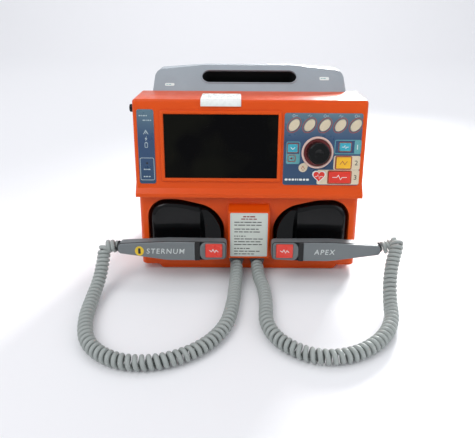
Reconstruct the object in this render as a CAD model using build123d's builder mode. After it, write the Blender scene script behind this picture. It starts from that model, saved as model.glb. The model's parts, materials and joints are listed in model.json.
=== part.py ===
from build123d import *
import os
from math import atan2, cos, degrees, hypot, pi, radians, sin, tan

# Portable monitor and defibrillator: an orange front with a tilted head and a paddle tray, a grey
# rear housing whose top rises into a carrying handle, two hand paddles in wells, and two curly
# cords that lie on the table. Millimetres. X is across, +Y to the back, +Z up; the origin is
# under the middle of the case with its paddles.

# ------------------------------------------------------------------ driving sizes: the case
lean = 10.0                 # degrees that the whole front leans back
front_y = -79.35            # foot of the leaning front
base_height = 8.0           # underside of the case above the table
case_width = 315.0          # head
tray_width = 312.0          # paddle tray
rear_width = 280.5          # rear housing
seam_depth = 100.0          # front foot to the seam between front and rear housings
case_depth = 201.0          # front foot to the back wall
tray_top = 110.2            # height of the tray's top edge
seam_gap = 0.3              # gap between two housings at a seam
front_length = 233.7        # front foot to the top edge, measured up the face
head_rear_top = 239.2       # height of the head where it meets the rear housing
head_step = 7.0             # head face in front of the tray face
chin_step = 11.0            # chin lip in front of the tray face
chin_lip = 5.1              # lip's height up the face
chin_ramp = 7.1             # height of the slope from the lip back to the head face
wall = 3.0                  # housing wall
edge_round = 4.5            # head's outer edges
corner_round = 9.0          # case corners seen from above

# ------------------------------------------------------------------ driving sizes: the head's front
panel_foot = 105.45         # foot of the head panel, measured up the front
screen_width = 154.08       # picture area of a 7 inch 16:9 display
screen_height = 85.92
screen_x = -39.2
screen_up = 66.4            # centre above the panel foot
bezel_border = 5.0
bezel_raise = 2.6
bezel_round = 1.8
glass_overlap = 2.0         # glass hidden under the bezel on each side
glass_thickness = 1.8
lcd_thickness = 7.0
membrane_thickness = 0.8
left_membrane_size = (22.5, 100.0)
left_membrane_place = (-140.2, 65.3)
right_membrane_size = (104.6, 97.1)
right_membrane_place = (98.3, 63.3)
membrane_corner = 3.0

key_raise = 1.3             # key top above the membrane
key_travel = 0.8
key_clearance = 0.35        # round each key in its hole
key_flange = 1.0            # flange outside the hole, behind the wall
key_flange_thickness = 0.8
key_edge = 0.5
running_gap = 0.3           # between a key's flange and the wall
soft_key_count = 5
soft_key_first_x = 58.9
soft_key_pitch = 20.7
soft_key_up = 96.0
soft_key_long = 8.9         # half length of the oval
soft_key_short = 5.8        # half width of the oval
soft_key_turn = 50.0        # degrees
panel_keys = {              # name: x, height above the panel foot, width, height
    "page_key": (58.2, 65.4, 13.2, 10.9),
    "mute_key": (57.1, 51.7, 8.4, 7.2),
    "view_key": (129.1, 67.4, 15.2, 11.0),
    "charge_key": (128.3, 45.9, 19.7, 15.5),
    "shock_key": (124.1, 25.9, 30.0, 15.8),
}
panel_key_corner = 1.5

knob_x = 91.9
knob_up = 59.6
ring_radius = 21.6
ring_bore = 18.7
ring_raise = 2.2
knob_radius = 15.2
knob_height = 15.0
knob_gap = 0.4              # knob's underside above the membrane
shaft_radius = 3.0
shaft_bore_gap = 0.5
dimple_radius = 6.0
flute_count = 12             # shallow grooves round the knob
flute_radius = 1.3

socket_radius = 5.4         # patient lead socket on the left side
socket_depth = 52.0         # from the front foot
socket_height = 224.0
socket_proud = 7.0

lens_x = -39.2
lens_width = 54.0
lens_drop = 8.6             # below the top edge, on the face
lens_depth = 33.0           # behind the top edge, on the top
lens_proud = 2.2
lens_gap = 0.15

# ------------------------------------------------------------------ driving sizes: rear housing
shoulder_height = 238.7     # foot of the sloping top
ridge_front = 137.0         # from the front foot
ridge_back = 152.0
ridge_height = 271.2
ridge_corner_drop = 6.5     # the ridge falls a little towards its corners
crown_half = 66.0
ridge_half = 138.8
back_top_height = 244.0
back_lean = 3.0             # the back wall comes in towards its top
slot_length = 140.6
slot_width = 24.0
slot_rise = 0.56            # slot's centre, as a share of the sloping top
well_depth_handle = 40.0
thin_wall = 2.0
cover_width = 150.0
cover_height = 74.0
cover_z = 76.0
cover_x = 38.0
cover_thickness = 2.6
cover_gap = 0.25
inlet_width = 27.6
inlet_height = 20.0
inlet_depth = 17.0
inlet_x = -92.0
inlet_z = 46.0
screw_radius = 2.0
screw_head_radius = 3.9
screw_length = 22.0
grille_slots = 6
grille_pitch = 5.0
grille_slot_width = 2.2
grille_slot_length = 26.0
grille_y = 85.0             # from the front foot to the speaker's axis
grille_z = 150.0

# ------------------------------------------------------------------ driving sizes: base
skirt_half = 130.0
skirt_flare = 5.0
skirt_back = 9.0            # skirt's back edge short of the case's
foot_radius = 9.0
foot_height = 3.0
foot_show = 1.0
foot_inset = 18.0

# ------------------------------------------------------------------ driving sizes: wells and paddles
well_x = 89.3               # centre of each well from the middle
well_half = 54.7
well_foot = 11.5
well_top = 97.2
well_crown = 98.0           # the arch's flat top ends here, from the middle
well_haunch = (52.0, 86.5)  # corner of the arch on its inner side, before rounding
well_spring = 62.0          # height where the arch leaves the inner side
well_depth = 38.0
well_wall = 2.5
outer_corner = 27.0
crown_corner = 100.0
haunch_corner = 44.0
spring_corner = 38.0
foot_corner = 11.0
paddle_clearance = 2.6
base_front = 2.0            # dome's front, out of the tray face
base_edge = 9.0
electrode_thickness = 1.6
electrode_margin = 4.0
electrode_lap = 2.0         # ledge that the electrode closes against
base_floor = 11.0           # thickness of the dome behind its front
contact_radius = 7.0
contact_height = 1.2
contact_gap = 0.5

bar_inner = 30.9            # bar's inner end from the middle
bar_outer = 177.5
bar_top = 49.6
bar_bottom = 22.6
bar_inner_rise = 1.8        # the underside curves up a little to the inner end
bar_outer_rise = 9.4        # and slants up to the outer end
bar_outer_drop = 3.6        # the top comes down at the outer end
slant_start = 110.0
flat_start = 72.0
bar_back = 24.0             # back of the bar, out of the tray face
bar_split = 44.6            # rear shell to seal
seal_thickness = 1.1
seal_lap = 1.7              # seal's inner edge from the outside of the bar
face_front = 48.2
bar_wall = 1.9
bar_back_round = 6.0
face_round = 0.9
band_inner = 66.4
band_outer = 73.4
piece_gap = 0.2
neck_inset = 1.6            # neck's inner side from the dome's
neck_low = 26.5
neck_high = 47.5            # neck's top where it meets the bar
neck_bulge = (72.0, 13.0)   # its top half way, as height and distance out
neck_crown = 93.0           # its top where it leaves the dome
neck_outer = 60.5           # its outer side where it meets the bar, from the middle
neck_waist = (65.0, 9.0)    # the same half way, as distance from the middle and out
neck_spread = 79.0          # and where it leaves the dome
button_x = 47.6
button_up = 37.5
button_width = 22.6
button_height = 19.0
button_rim = 1.4
button_clearance = 0.4
button_raise = 2.0
button_travel = 1.5
housing_lip = 1.2
switch_size = (12.0, 8.0, 6.0)
gland_up = 38.6
gland_out = 35.2
gland_length = 2.2
gland_root = 7.6
gland_tip = 6.4
gland_bore_gap = 0.1

# ------------------------------------------------------------------ driving sizes: block and cords
block_half = 29.0
block_foot = 17.5
block_head = 84.6
block_head_back = 91.4
block_out = 22.0
block_wall = 2.5
block_round = 2.0
plate_width = 52.0
plate_height = 63.0
plate_thickness = 0.8
cord_radius = 9.0           # outside of the curl
outlet_x = (-17.0, 12.5)
outlet_up = 13.5
outlet_dip = 15.0           # degrees that each outlet points down
bush_root = 7.9
bush_hole_gap = 0.3
bush_collar = 10.4
bush_collar_start = 5.0
bush_collar_length = 3.0
bush_length = 14.0

# ------------------------------------------------------------------ planes and helpers
# the leaning front: x across, y up the face, z out of it
front = Plane(
    origin=(0, front_y, base_height),
    x_dir=(1, 0, 0),
    z_dir=(0, -cos(radians(lean)), sin(radians(lean))),
)
outwards = Axis(front.origin, front.z_dir)
seam_y = front_y + seam_depth
back_y = front_y + case_depth
socket_y = front_y + socket_depth


def at_front(x, up, out):
    """Point given by its place across, up and out of the leaning front."""
    return front.from_local_coords(Vector(x, up, out))


def front_yz(up, out):
    """The same point in the side view, as (y, z)."""
    point = at_front(0, up, out)
    return (point.Y, point.Z)


def up_at_height(z, out):
    """How far up the leaning front a plane that stands out of it reaches a height."""
    return (z - base_height - out * sin(radians(lean))) / cos(radians(lean))


def save(builder, name):
    """Labels a finished piece and writes it."""
    builder.part.label = name
    export_step(builder.part, f"parts/{name}.step")


os.makedirs("parts", exist_ok=True)

# ================================================================== front housing
head_bottom = tray_top + seam_gap
chin_foot = up_at_height(head_bottom, chin_step)
panel_back = head_step - wall
top_front_y, top_front_z = front_yz(front_length, head_step)
top_slope = atan2(head_rear_top - top_front_z, seam_y - top_front_y)

head_profile = [            # side view of the head
    front_yz(chin_foot, chin_step),
    front_yz(chin_foot + chin_lip, chin_step),
    front_yz(chin_foot + chin_lip + chin_ramp, head_step),
    (top_front_y, top_front_z),
    (seam_y, head_rear_top),
    (seam_y, head_bottom),
]


def lens_profile(gap, inner):
    """Side view of the alarm lamp's lens, an angle that wraps over the top front edge."""
    low = front_length - lens_drop - gap
    lens_back = top_front_y + lens_depth + gap
    fall = (lens_back - top_front_y) * tan(top_slope)
    return [
        front_yz(low, head_step + lens_proud),
        (front_yz(front_length, head_step + lens_proud)[0], top_front_z + lens_proud),
        (lens_back, top_front_z + lens_proud + fall),
        (lens_back, top_front_z - inner + fall),
        front_yz(up_at_height(top_front_z - inner, head_step - inner), head_step - inner),
        front_yz(low, head_step - inner),
    ]


soft_keys = [
    (f"soft_key_{index + 1}", soft_key_first_x + index * soft_key_pitch)
    for index in range(soft_key_count)
]

with BuildPart() as front_housing:
    with BuildSketch(Plane.YZ):
        with BuildLine():
            Polyline(*head_profile, close=True)
        make_face()
    extrude(amount=case_width / 2, both=True)
    top_edge = front_housing.edges().filter_by(Axis.X).sort_by(Axis.Z)[-2:].sort_by(Axis.Y)[0]
    side_edges = front_housing.edges().filter_by(
        lambda edge: abs(edge.center().X) > case_width / 2 - 0.1
        and edge.center().Y < seam_y - 1.0
        and edge.length > chin_lip + chin_ramp
        and edge.center().Z > tray_top + chin_lip
    )
    fillet([top_edge, *side_edges], radius=edge_round)
    with BuildSketch(Plane.YZ):
        with BuildLine():
            Polyline(*head_profile, close=True)
        make_face()
        offset(amount=-wall, kind=Kind.INTERSECTION)
    extrude(amount=case_width / 2 - wall, both=True, mode=Mode.SUBTRACT)
    # way through the back wall into the rear housing
    with BuildSketch(Plane.XZ.offset(-(seam_y + 1.0))):
        with Locations((0, (head_bottom + head_rear_top) / 2)):
            RectangleRounded(
                rear_width - 4 * wall, head_rear_top - head_bottom - 4 * wall, corner_round
            )
    extrude(amount=wall + 2.0, mode=Mode.SUBTRACT)
    # window for the glass, shaft hole and key holes, all through the face wall
    glass_width = screen_width + 2 * glass_overlap
    glass_height = screen_height + 2 * glass_overlap
    with BuildSketch(front.offset(head_step + 1.0)):
        with Locations((screen_x, panel_foot + screen_up)):
            RectangleRounded(glass_width + 2 * piece_gap, glass_height + 2 * piece_gap, 2.0)
        with Locations((knob_x, panel_foot + knob_up)):
            Circle(shaft_radius + shaft_bore_gap)
        for name, x in soft_keys:
            with Locations(Location((x, panel_foot + soft_key_up), soft_key_turn)):
                Ellipse(soft_key_long + key_clearance, soft_key_short + key_clearance)
        for x, up, width, height in panel_keys.values():
            with Locations((x, panel_foot + up)):
                RectangleRounded(
                    width + 2 * key_clearance, height + 2 * key_clearance, panel_key_corner
                )
    extrude(amount=-(wall + 2.0), mode=Mode.SUBTRACT)
    # notch for the lamp's lens
    with BuildSketch(Plane.YZ.offset(lens_x)):
        with BuildLine():
            Polyline(*lens_profile(lens_gap, wall + 1.0), close=True)
        make_face()
    extrude(amount=lens_width / 2 + lens_gap, both=True, mode=Mode.SUBTRACT)
    # hole for the socket on the left side
    with BuildSketch(Plane.YZ.offset(-case_width / 2 - 1.0)):
        with Locations((socket_y, socket_height)):
            Circle(socket_radius + piece_gap)
    extrude(amount=wall + 2.0, mode=Mode.SUBTRACT)
save(front_housing, "front_housing")

with BuildPart() as alarm_lens:
    with BuildSketch(Plane.YZ.offset(lens_x)):
        with BuildLine():
            Polyline(*lens_profile(0.0, wall - lens_gap), close=True)
        make_face()
    extrude(amount=lens_width / 2, both=True)
    lens_front = alarm_lens.edges().filter_by(Axis.X).sort_by(Axis.Z)[-2:].sort_by(Axis.Y)[0]
    lens_sides = alarm_lens.edges().filter_by(
        lambda edge: abs(edge.center().X - lens_x) > lens_width / 2 - 0.1
        and (edge.center().Z > top_front_z + 0.5 or edge.center().Y < top_front_y)
        and edge.length > wall + 2 * lens_proud
    )
    fillet([lens_front, *lens_sides], radius=1.9)
save(alarm_lens, "alarm_lens")

with BuildPart() as screen_bezel:
    with BuildSketch(front.offset(head_step)):
        with Locations((screen_x, panel_foot + screen_up)):
            RectangleRounded(
                screen_width + 2 * bezel_border, screen_height + 2 * bezel_border, 4.0
            )
            Rectangle(screen_width, screen_height, mode=Mode.SUBTRACT)
    extrude(amount=bezel_raise)
    chamfer(screen_bezel.faces().sort_by(outwards)[-1].inner_wires()[0].edges(), length=1.2)
    fillet(screen_bezel.faces().sort_by(outwards)[-1].outer_wire().edges(), radius=bezel_round)
save(screen_bezel, "screen_bezel")

with BuildPart() as display_window:
    with BuildSketch(front.offset(head_step - glass_thickness)):
        with Locations((screen_x, panel_foot + screen_up)):
            RectangleRounded(glass_width, glass_height, 2.0 - piece_gap)
    extrude(amount=glass_thickness)
save(display_window, "display_window")

with BuildPart() as lcd_module:
    with BuildSketch(front.offset(panel_back - lcd_thickness - piece_gap)):
        with Locations((screen_x, panel_foot + screen_up)):
            RectangleRounded(glass_width + 6.0, glass_height + 4.0, 1.0)
    extrude(amount=lcd_thickness)
save(lcd_module, "lcd_module")

# ------------------------------------------------------------------ membranes, keys and knob
membrane_top = head_step + membrane_thickness

with BuildPart() as left_membrane:
    with BuildSketch(front.offset(head_step)):
        with Locations((left_membrane_place[0], panel_foot + left_membrane_place[1])):
            RectangleRounded(*left_membrane_size, membrane_corner)
    extrude(amount=membrane_thickness)
save(left_membrane, "left_membrane")

with BuildPart() as right_membrane:
    with BuildSketch(front.offset(head_step)):
        with Locations((right_membrane_place[0], panel_foot + right_membrane_place[1])):
            RectangleRounded(*right_membrane_size, membrane_corner)
        with Locations((knob_x, panel_foot + knob_up)):
            Circle(shaft_radius + shaft_bore_gap, mode=Mode.SUBTRACT)
        for name, x in soft_keys:
            with Locations(Location((x, panel_foot + soft_key_up), soft_key_turn)):
                Ellipse(
                    soft_key_long + key_clearance,
                    soft_key_short + key_clearance,
                    mode=Mode.SUBTRACT,
                )
        for x, up, width, height in panel_keys.values():
            with Locations((x, panel_foot + up)):
                RectangleRounded(
                    width + 2 * key_clearance,
                    height + 2 * key_clearance,
                    panel_key_corner,
                    mode=Mode.SUBTRACT,
                )
    extrude(amount=membrane_thickness)
save(right_membrane, "right_membrane")

key_front = membrane_top + key_raise
flange_front = panel_back - running_gap
flange_back = flange_front - key_flange_thickness

for name, x in soft_keys:
    with BuildPart() as soft_key:
        with BuildSketch(front.offset(flange_back)):
            with Locations(Location((x, panel_foot + soft_key_up), soft_key_turn)):
                Ellipse(
                    soft_key_long + key_clearance + key_flange,
                    soft_key_short + key_clearance + key_flange,
                )
        extrude(amount=key_flange_thickness)
        with BuildSketch(front.offset(flange_back)):
            with Locations(Location((x, panel_foot + soft_key_up), soft_key_turn)):
                Ellipse(soft_key_long, soft_key_short)
        extrude(amount=key_front - flange_back)
        fillet(soft_key.faces().sort_by(outwards)[-1].edges(), radius=key_edge)
    save(soft_key, name)

for name, (x, up, width, height) in panel_keys.items():
    with BuildPart() as panel_key:
        with BuildSketch(front.offset(flange_back)):
            with Locations((x, panel_foot + up)):
                RectangleRounded(
                    width + 2 * key_clearance + 2 * key_flange,
                    height + 2 * key_clearance + 2 * key_flange,
                    panel_key_corner,
                )
        extrude(amount=key_flange_thickness)
        with BuildSketch(front.offset(flange_back)):
            with Locations((x, panel_foot + up)):
                RectangleRounded(width, height, panel_key_corner - key_clearance)
        extrude(amount=key_front - flange_back)
        fillet(panel_key.faces().sort_by(outwards)[-1].edges(), radius=key_edge)
    save(panel_key, name)

with BuildPart() as selector_ring:
    with BuildSketch(front.offset(membrane_top)):
        with Locations((knob_x, panel_foot + knob_up)):
            Circle(ring_radius)
            Circle(ring_bore, mode=Mode.SUBTRACT)
    extrude(amount=ring_raise)
    fillet(selector_ring.faces().sort_by(outwards)[-1].edges(), radius=0.8)
save(selector_ring, "selector_ring")

knob_under = membrane_top + knob_gap
shaft_back = panel_back - 6.0
with BuildPart() as selector_knob:
    with BuildSketch(front.offset(knob_under)):
        with Locations((knob_x, panel_foot + knob_up)):
            Circle(knob_radius)
    extrude(amount=knob_height, taper=3.0)
    fillet(selector_knob.faces().sort_by(outwards)[-1].edges(), radius=2.2)
    with BuildSketch(front.offset(shaft_back)):
        with Locations((knob_x, panel_foot + knob_up)):
            Circle(shaft_radius)
    extrude(amount=knob_under - shaft_back)
    dimple_depth = 1.2
    dimple_ball = (dimple_radius**2 + dimple_depth**2) / (2 * dimple_depth)
    dimple_out = knob_under + knob_height + dimple_ball - dimple_depth
    with Locations(at_front(knob_x, panel_foot + knob_up, dimple_out)):
        Sphere(dimple_ball, mode=Mode.SUBTRACT)
    with BuildSketch(front.offset(knob_under - 1.0)):
        with Locations((knob_x, panel_foot + knob_up)):
            with PolarLocations(knob_radius + flute_radius / 2, flute_count):
                Circle(flute_radius)
    extrude(amount=knob_height - 3.0, mode=Mode.SUBTRACT)
save(selector_knob, "selector_knob")

encoder_front = shaft_back - running_gap
with BuildPart() as selector_encoder:
    with BuildSketch(front.offset(encoder_front)):
        with Locations((knob_x, panel_foot + knob_up)):
            RectangleRounded(14.0, 14.0, 1.0)
    extrude(amount=-7.0)
save(selector_encoder, "selector_encoder")

switch_top = flange_back - key_travel - running_gap
switch_height = 1.6
board_thickness = 1.6
board_hole = 9.5
with BuildPart() as keypad_board:
    with BuildSketch(front.offset(switch_top - switch_height)):
        with Locations((right_membrane_place[0], panel_foot + right_membrane_place[1])):
            Rectangle(right_membrane_size[0] - 2.0, right_membrane_size[1] - 6.0)
        with Locations((knob_x, panel_foot + knob_up)):
            Circle(board_hole, mode=Mode.SUBTRACT)
    extrude(amount=-board_thickness)
    with BuildSketch(front.offset(switch_top - switch_height)):
        for name, x in soft_keys:
            with Locations((x, panel_foot + soft_key_up)):
                Circle(2.5)
        for x, up, width, height in panel_keys.values():
            with Locations((x, panel_foot + up)):
                Circle(2.5)
    extrude(amount=switch_height)
save(keypad_board, "keypad_board")

with BuildPart() as ecg_socket:
    with BuildSketch(Plane.YZ.offset(-case_width / 2 - socket_proud)):
        with Locations((socket_y, socket_height)):
            Circle(socket_radius)
    extrude(amount=socket_proud + wall + 9.0)
    with BuildSketch(Plane.YZ.offset(-case_width / 2 + wall + piece_gap)):
        with Locations((socket_y, socket_height)):
            Circle(socket_radius + 2.5)
    extrude(amount=3.0)
    fillet(ecg_socket.edges().sort_by(Axis.X)[0], radius=1.2)
save(ecg_socket, "ecg_socket")

# ================================================================== paddle tray


def well_face(side, inset):
    """An arch-topped well on one side as a flat face, drawn in by inset all round."""
    points = [
        (side * (well_x + well_half), well_foot),
        (side * (well_x + well_half), well_top),
        (side * well_crown, well_top),
        (side * well_haunch[0], well_haunch[1]),
        (side * (well_x - well_half), well_spring),
        (side * (well_x - well_half), well_foot),
    ]
    radii = [
        foot_corner, outer_corner, crown_corner, haunch_corner, spring_corner, foot_corner,
    ]
    with BuildSketch() as face:
        with BuildLine():
            FilletPolyline(*points, radius=radii, close=True)
        make_face()
        if inset != 0.0:
            offset(amount=-inset)
    return face.sketch


tray_profile = [            # side view of the tray
    (front_y, base_height),
    front_yz(up_at_height(tray_top, 0.0), 0.0),
    (seam_y, tray_top),
    (seam_y, base_height),
]

sides = {"sternum": -1, "apex": 1}
outlet_axis = Vector(0, -cos(radians(outlet_dip)), -sin(radians(outlet_dip)))
outlet_planes = {
    name: Plane(origin=at_front(x, outlet_up, 0.0), x_dir=(1, 0, 0), z_dir=outlet_axis)
    for name, x in zip(sides, outlet_x)
}

with BuildPart() as paddle_tray:
    with BuildSketch(Plane.YZ):
        with BuildLine():
            Polyline(*tray_profile, close=True)
        make_face()
    extrude(amount=tray_width / 2, both=True)
    fillet(
        paddle_tray.edges().filter_by(
            lambda edge: abs(edge.center().X) > tray_width / 2 - 0.1
            and edge.center().Y < seam_y - 1.0
            and edge.center().Z < tray_top - 1.0
            and edge.center().Z > base_height + 1.0
        ),
        radius=corner_round,
    )
    with BuildSketch(Plane.YZ):
        with BuildLine():
            Polyline(*tray_profile, close=True)
        make_face()
        offset(amount=-wall, kind=Kind.INTERSECTION)
    extrude(amount=tray_width / 2 - wall, both=True, mode=Mode.SUBTRACT)
    # way through the back wall into the rear housing
    with BuildSketch(Plane.XZ.offset(-(seam_y + 1.0))):
        with Locations((0, (base_height + tray_top) / 2)):
            RectangleRounded(
                rear_width - 4 * wall, tray_top - base_height - 4 * wall, corner_round
            )
    extrude(amount=wall + 2.0, mode=Mode.SUBTRACT)
    for side in sides.values():
        with BuildSketch(front.offset(-wall)):
            add(well_face(side, -well_wall))
        extrude(amount=-(well_depth + well_wall - wall))
    for side in sides.values():
        with BuildSketch(front.offset(1.0)):
            add(well_face(side, 0.0))
        extrude(amount=-(well_depth + 1.0), mode=Mode.SUBTRACT)
    for plane in outlet_planes.values():
        with BuildSketch(plane.offset(-3 * wall)):
            Circle(bush_root + bush_hole_gap)
        extrude(amount=6 * wall, mode=Mode.SUBTRACT)
save(paddle_tray, "paddle_tray")

with BuildPart() as test_contacts:
    with BuildSketch(front.offset(-well_depth)):
        for side in sides.values():
            with Locations((side * well_x, (well_foot + well_top) / 2)):
                with GridLocations(36.0, 0.0, 2, 1):
                    Circle(contact_radius)
    extrude(amount=contact_height)
save(test_contacts, "test_contacts")

# ------------------------------------------------------------------ centre block, plate and cord outlets
with BuildPart() as cord_block:
    with BuildSketch(Plane.YZ):
        with BuildLine():
            Polyline(
                front_yz(block_foot, 0.0),
                front_yz(block_foot, block_out),
                front_yz(block_head, block_out),
                front_yz(block_head_back, 0.0),
                close=True,
            )
        make_face()
    extrude(amount=block_half, both=True)
    block_edges = cord_block.edges().filter_by(
        lambda edge: (front.to_local_coords(edge.center()).Z > block_out - 0.1
                      and front.to_local_coords(edge.center()).Y > block_foot + 1.0)
        or (abs(edge.center().X) > block_half - 0.1
            and front.to_local_coords(edge.center()).Y > block_head)
    )
    fillet(block_edges, radius=block_round)
    with BuildSketch(Plane.YZ):
        with BuildLine():
            Polyline(
                front_yz(block_foot - 1.0, -1.0),
                front_yz(block_foot - 1.0, block_out - block_wall),
                front_yz(block_head - block_wall, block_out - block_wall),
                front_yz(block_head_back - block_wall, -1.0),
                close=True,
            )
        make_face()
    extrude(amount=block_half - block_wall, both=True, mode=Mode.SUBTRACT)
save(cord_block, "cord_block")

with BuildPart() as instruction_plate:
    with BuildSketch(front.offset(block_out)):
        with Locations((0, (block_foot + block_head) / 2 + 0.6)):
            RectangleRounded(plate_width, plate_height, 1.5)
    extrude(amount=plate_thickness)
save(instruction_plate, "instruction_plate")

with BuildPart() as cord_bushes:
    for plane in outlet_planes.values():
        with BuildSketch(plane.offset(-2 * wall)):
            Circle(bush_root)
        extrude(amount=2 * wall + bush_collar_start)
        with BuildSketch(plane.offset(bush_collar_start)):
            Circle(bush_collar)
        extrude(amount=bush_collar_length)
        cone_length = bush_length - bush_collar_start - bush_collar_length
        with BuildSketch(plane.offset(bush_collar_start + bush_collar_length)):
            Circle(bush_collar - 0.6)
        extrude(
            amount=cone_length,
            taper=degrees(atan2(bush_collar - 0.6 - cord_radius, cone_length)),
        )
save(cord_bushes, "cord_bushes")

# ================================================================== rear housing
ridge_y = front_y + ridge_front


def rear_profile(past_seam):
    """Side view of the rear housing, with the sloping top that carries the hand slot."""
    return [
        (seam_y + seam_gap - past_seam, base_height),
        (seam_y + seam_gap - past_seam, shoulder_height),
        (seam_y + seam_gap, shoulder_height),
        (ridge_y, ridge_height),
        (front_y + ridge_back, ridge_height),
        (back_y - back_lean, back_top_height),
        (back_y, base_height),
    ]


def rear_shape(past_seam, inset):
    """The rear housing as a solid, drawn in by inset on every side."""
    points = rear_profile(past_seam)
    if past_seam == 0.0:
        del points[1]
    with BuildPart() as shape:
        with BuildSketch(Plane.YZ):
            with BuildLine():
                Polyline(*points, close=True)
            make_face()
            if inset > 0.0:
                offset(amount=-inset, kind=Kind.INTERSECTION)
        extrude(amount=rear_width / 2, both=True)
        half = rear_width / 2 - inset
        top = ridge_height - inset
        with BuildSketch(Plane.XZ):
            with BuildLine():
                FilletPolyline(
                    (-half, base_height + inset),
                    (-half, shoulder_height),
                    (-ridge_half + inset, top - ridge_corner_drop),
                    (-crown_half, top),
                    (crown_half, top),
                    (ridge_half - inset, top - ridge_corner_drop),
                    (half, shoulder_height),
                    (half, base_height + inset),
                    radius=[4.0, 30.0, 10.0 - inset, 90.0, 90.0, 10.0 - inset, 30.0, 4.0],
                    close=True,
                )
            make_face()
        extrude(amount=2 * case_depth, both=True, mode=Mode.INTERSECT)
    return shape.part


rear_outer = rear_shape(0.0, 0.0)
rear_cavity = rear_shape(2 * wall, wall)

slope_angle = atan2(ridge_height - shoulder_height, ridge_y - seam_y - seam_gap)
slope_length = hypot(ridge_height - shoulder_height, ridge_y - seam_y - seam_gap)
slot_along = slope_length * slot_rise
slot_plane = Plane(
    origin=(
        0,
        seam_y + seam_gap + slot_along * cos(slope_angle),
        shoulder_height + slot_along * sin(slope_angle),
    ),
    x_dir=(1, 0, 0),
    z_dir=(0, -sin(slope_angle), cos(slope_angle)),
)
back_tilt = atan2(back_lean, back_top_height - base_height)


def back_plane(z, depth):
    """Plane on the back wall, facing backwards; x runs to the left when seen from behind."""
    y = back_y - (z - base_height) * tan(back_tilt) - depth
    return Plane(origin=(0, y, z), x_dir=(-1, 0, 0), z_dir=(0, cos(back_tilt), sin(back_tilt)))


cover_plane = back_plane(cover_z, 0.0)
inlet_plane = back_plane(inlet_z, 0.0)
screw_spots = [
    (x, z)
    for x in (-rear_width / 2 + 14.0, rear_width / 2 - 14.0)
    for z in (26.0, 128.0, 222.0)
]

with BuildPart() as rear_housing:
    add(rear_outer)
    fillet(
        rear_housing.edges().filter_by(
            lambda edge: edge.center().Y > back_y - back_lean - 4.0
            and edge.length > 20.0
            and edge.center().Z > base_height + 6.0
        ),
        radius=5.0,
    )
    add(rear_cavity, mode=Mode.SUBTRACT)
    with BuildSketch(slot_plane.offset(1.0)):
        SlotOverall(slot_length, slot_width)
    extrude(amount=-(wall + 2.0), mode=Mode.SUBTRACT)
    with BuildSketch(cover_plane.offset(1.0)):
        with Locations((-cover_x, 0)):
            RectangleRounded(cover_width + 2 * cover_gap, cover_height + 2 * cover_gap, 4.0)
    extrude(amount=-(wall + 2.0), mode=Mode.SUBTRACT)
    with BuildSketch(inlet_plane.offset(1.0)):
        with Locations((-inlet_x, 0)):
            Rectangle(inlet_width + 2 * piece_gap, inlet_height + 2 * piece_gap)
    extrude(amount=-(wall + 2.0), mode=Mode.SUBTRACT)
    for x, z in screw_spots:
        with BuildSketch(back_plane(z, 0.0).offset(1.0)):
            with Locations((-x, 0)):
                Circle(screw_radius + piece_gap)
        extrude(amount=-(wall + 2.0), mode=Mode.SUBTRACT)
    with BuildSketch(Plane.YZ.offset(-rear_width / 2 - 1.0)):
        with Locations((front_y + grille_y + seam_depth / 2, grille_z)):
            with GridLocations(grille_pitch, 0.0, grille_slots, 1):
                SlotOverall(grille_slot_length, grille_slot_width, rotation=90)
    extrude(amount=wall + 2.0, mode=Mode.SUBTRACT)
save(rear_housing, "rear_housing")

with BuildPart() as handle_well:
    with BuildSketch(slot_plane.offset(-wall - piece_gap)):
        SlotOverall(slot_length + 6.0, slot_width + 5.0)
    extrude(amount=-thin_wall)
    with BuildSketch(slot_plane.offset(-wall - piece_gap)):
        SlotOverall(slot_length + 2 * thin_wall - 1.0, slot_width + 2 * thin_wall - 1.0)
    extrude(amount=-well_depth_handle)
    with BuildSketch(slot_plane.offset(-wall + 1.0)):
        SlotOverall(slot_length - 1.0, slot_width - 1.0)
    extrude(amount=-(well_depth_handle - thin_wall + 1.0), mode=Mode.SUBTRACT)
save(handle_well, "handle_well")

with BuildPart() as battery_cover:
    with BuildSketch(cover_plane.offset(-wall)):
        with Locations((-cover_x, 0)):
            RectangleRounded(cover_width, cover_height, 4.0 - cover_gap)
    extrude(amount=cover_thickness)
    with BuildSketch(cover_plane.offset(-wall + cover_thickness)):
        with Locations((-cover_x, 0)):
            with GridLocations(0.0, 8.0, 1, 6):
                SlotOverall(cover_width - 50.0, 3.0)
    extrude(amount=0.8)
save(battery_cover, "battery_cover")

with BuildPart() as mains_inlet:
    with BuildSketch(inlet_plane.offset(-wall - inlet_depth)):
        with Locations((-inlet_x, 0)):
            Rectangle(inlet_width, inlet_height)
    extrude(amount=inlet_depth + wall + 0.6)
    with BuildSketch(inlet_plane.offset(0.1)):
        with Locations((-inlet_x, 0)):
            RectangleRounded(inlet_width + 5.0, inlet_height + 5.0, 2.0)
    extrude(amount=1.4)
    with BuildSketch(inlet_plane.offset(3.0)):
        with Locations((-inlet_x, 0)):
            Rectangle(inlet_width - 3.0, inlet_height - 3.0)
    extrude(amount=-(inlet_depth + 2.0), mode=Mode.SUBTRACT)
    with BuildSketch(inlet_plane.offset(-inlet_depth)):
        with Locations((-inlet_x - 7.0, -1.5), (-inlet_x + 7.0, -1.5), (-inlet_x, 3.5)):
            Rectangle(2.0, 4.0)
    extrude(amount=9.0)
save(mains_inlet, "mains_inlet")

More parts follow.
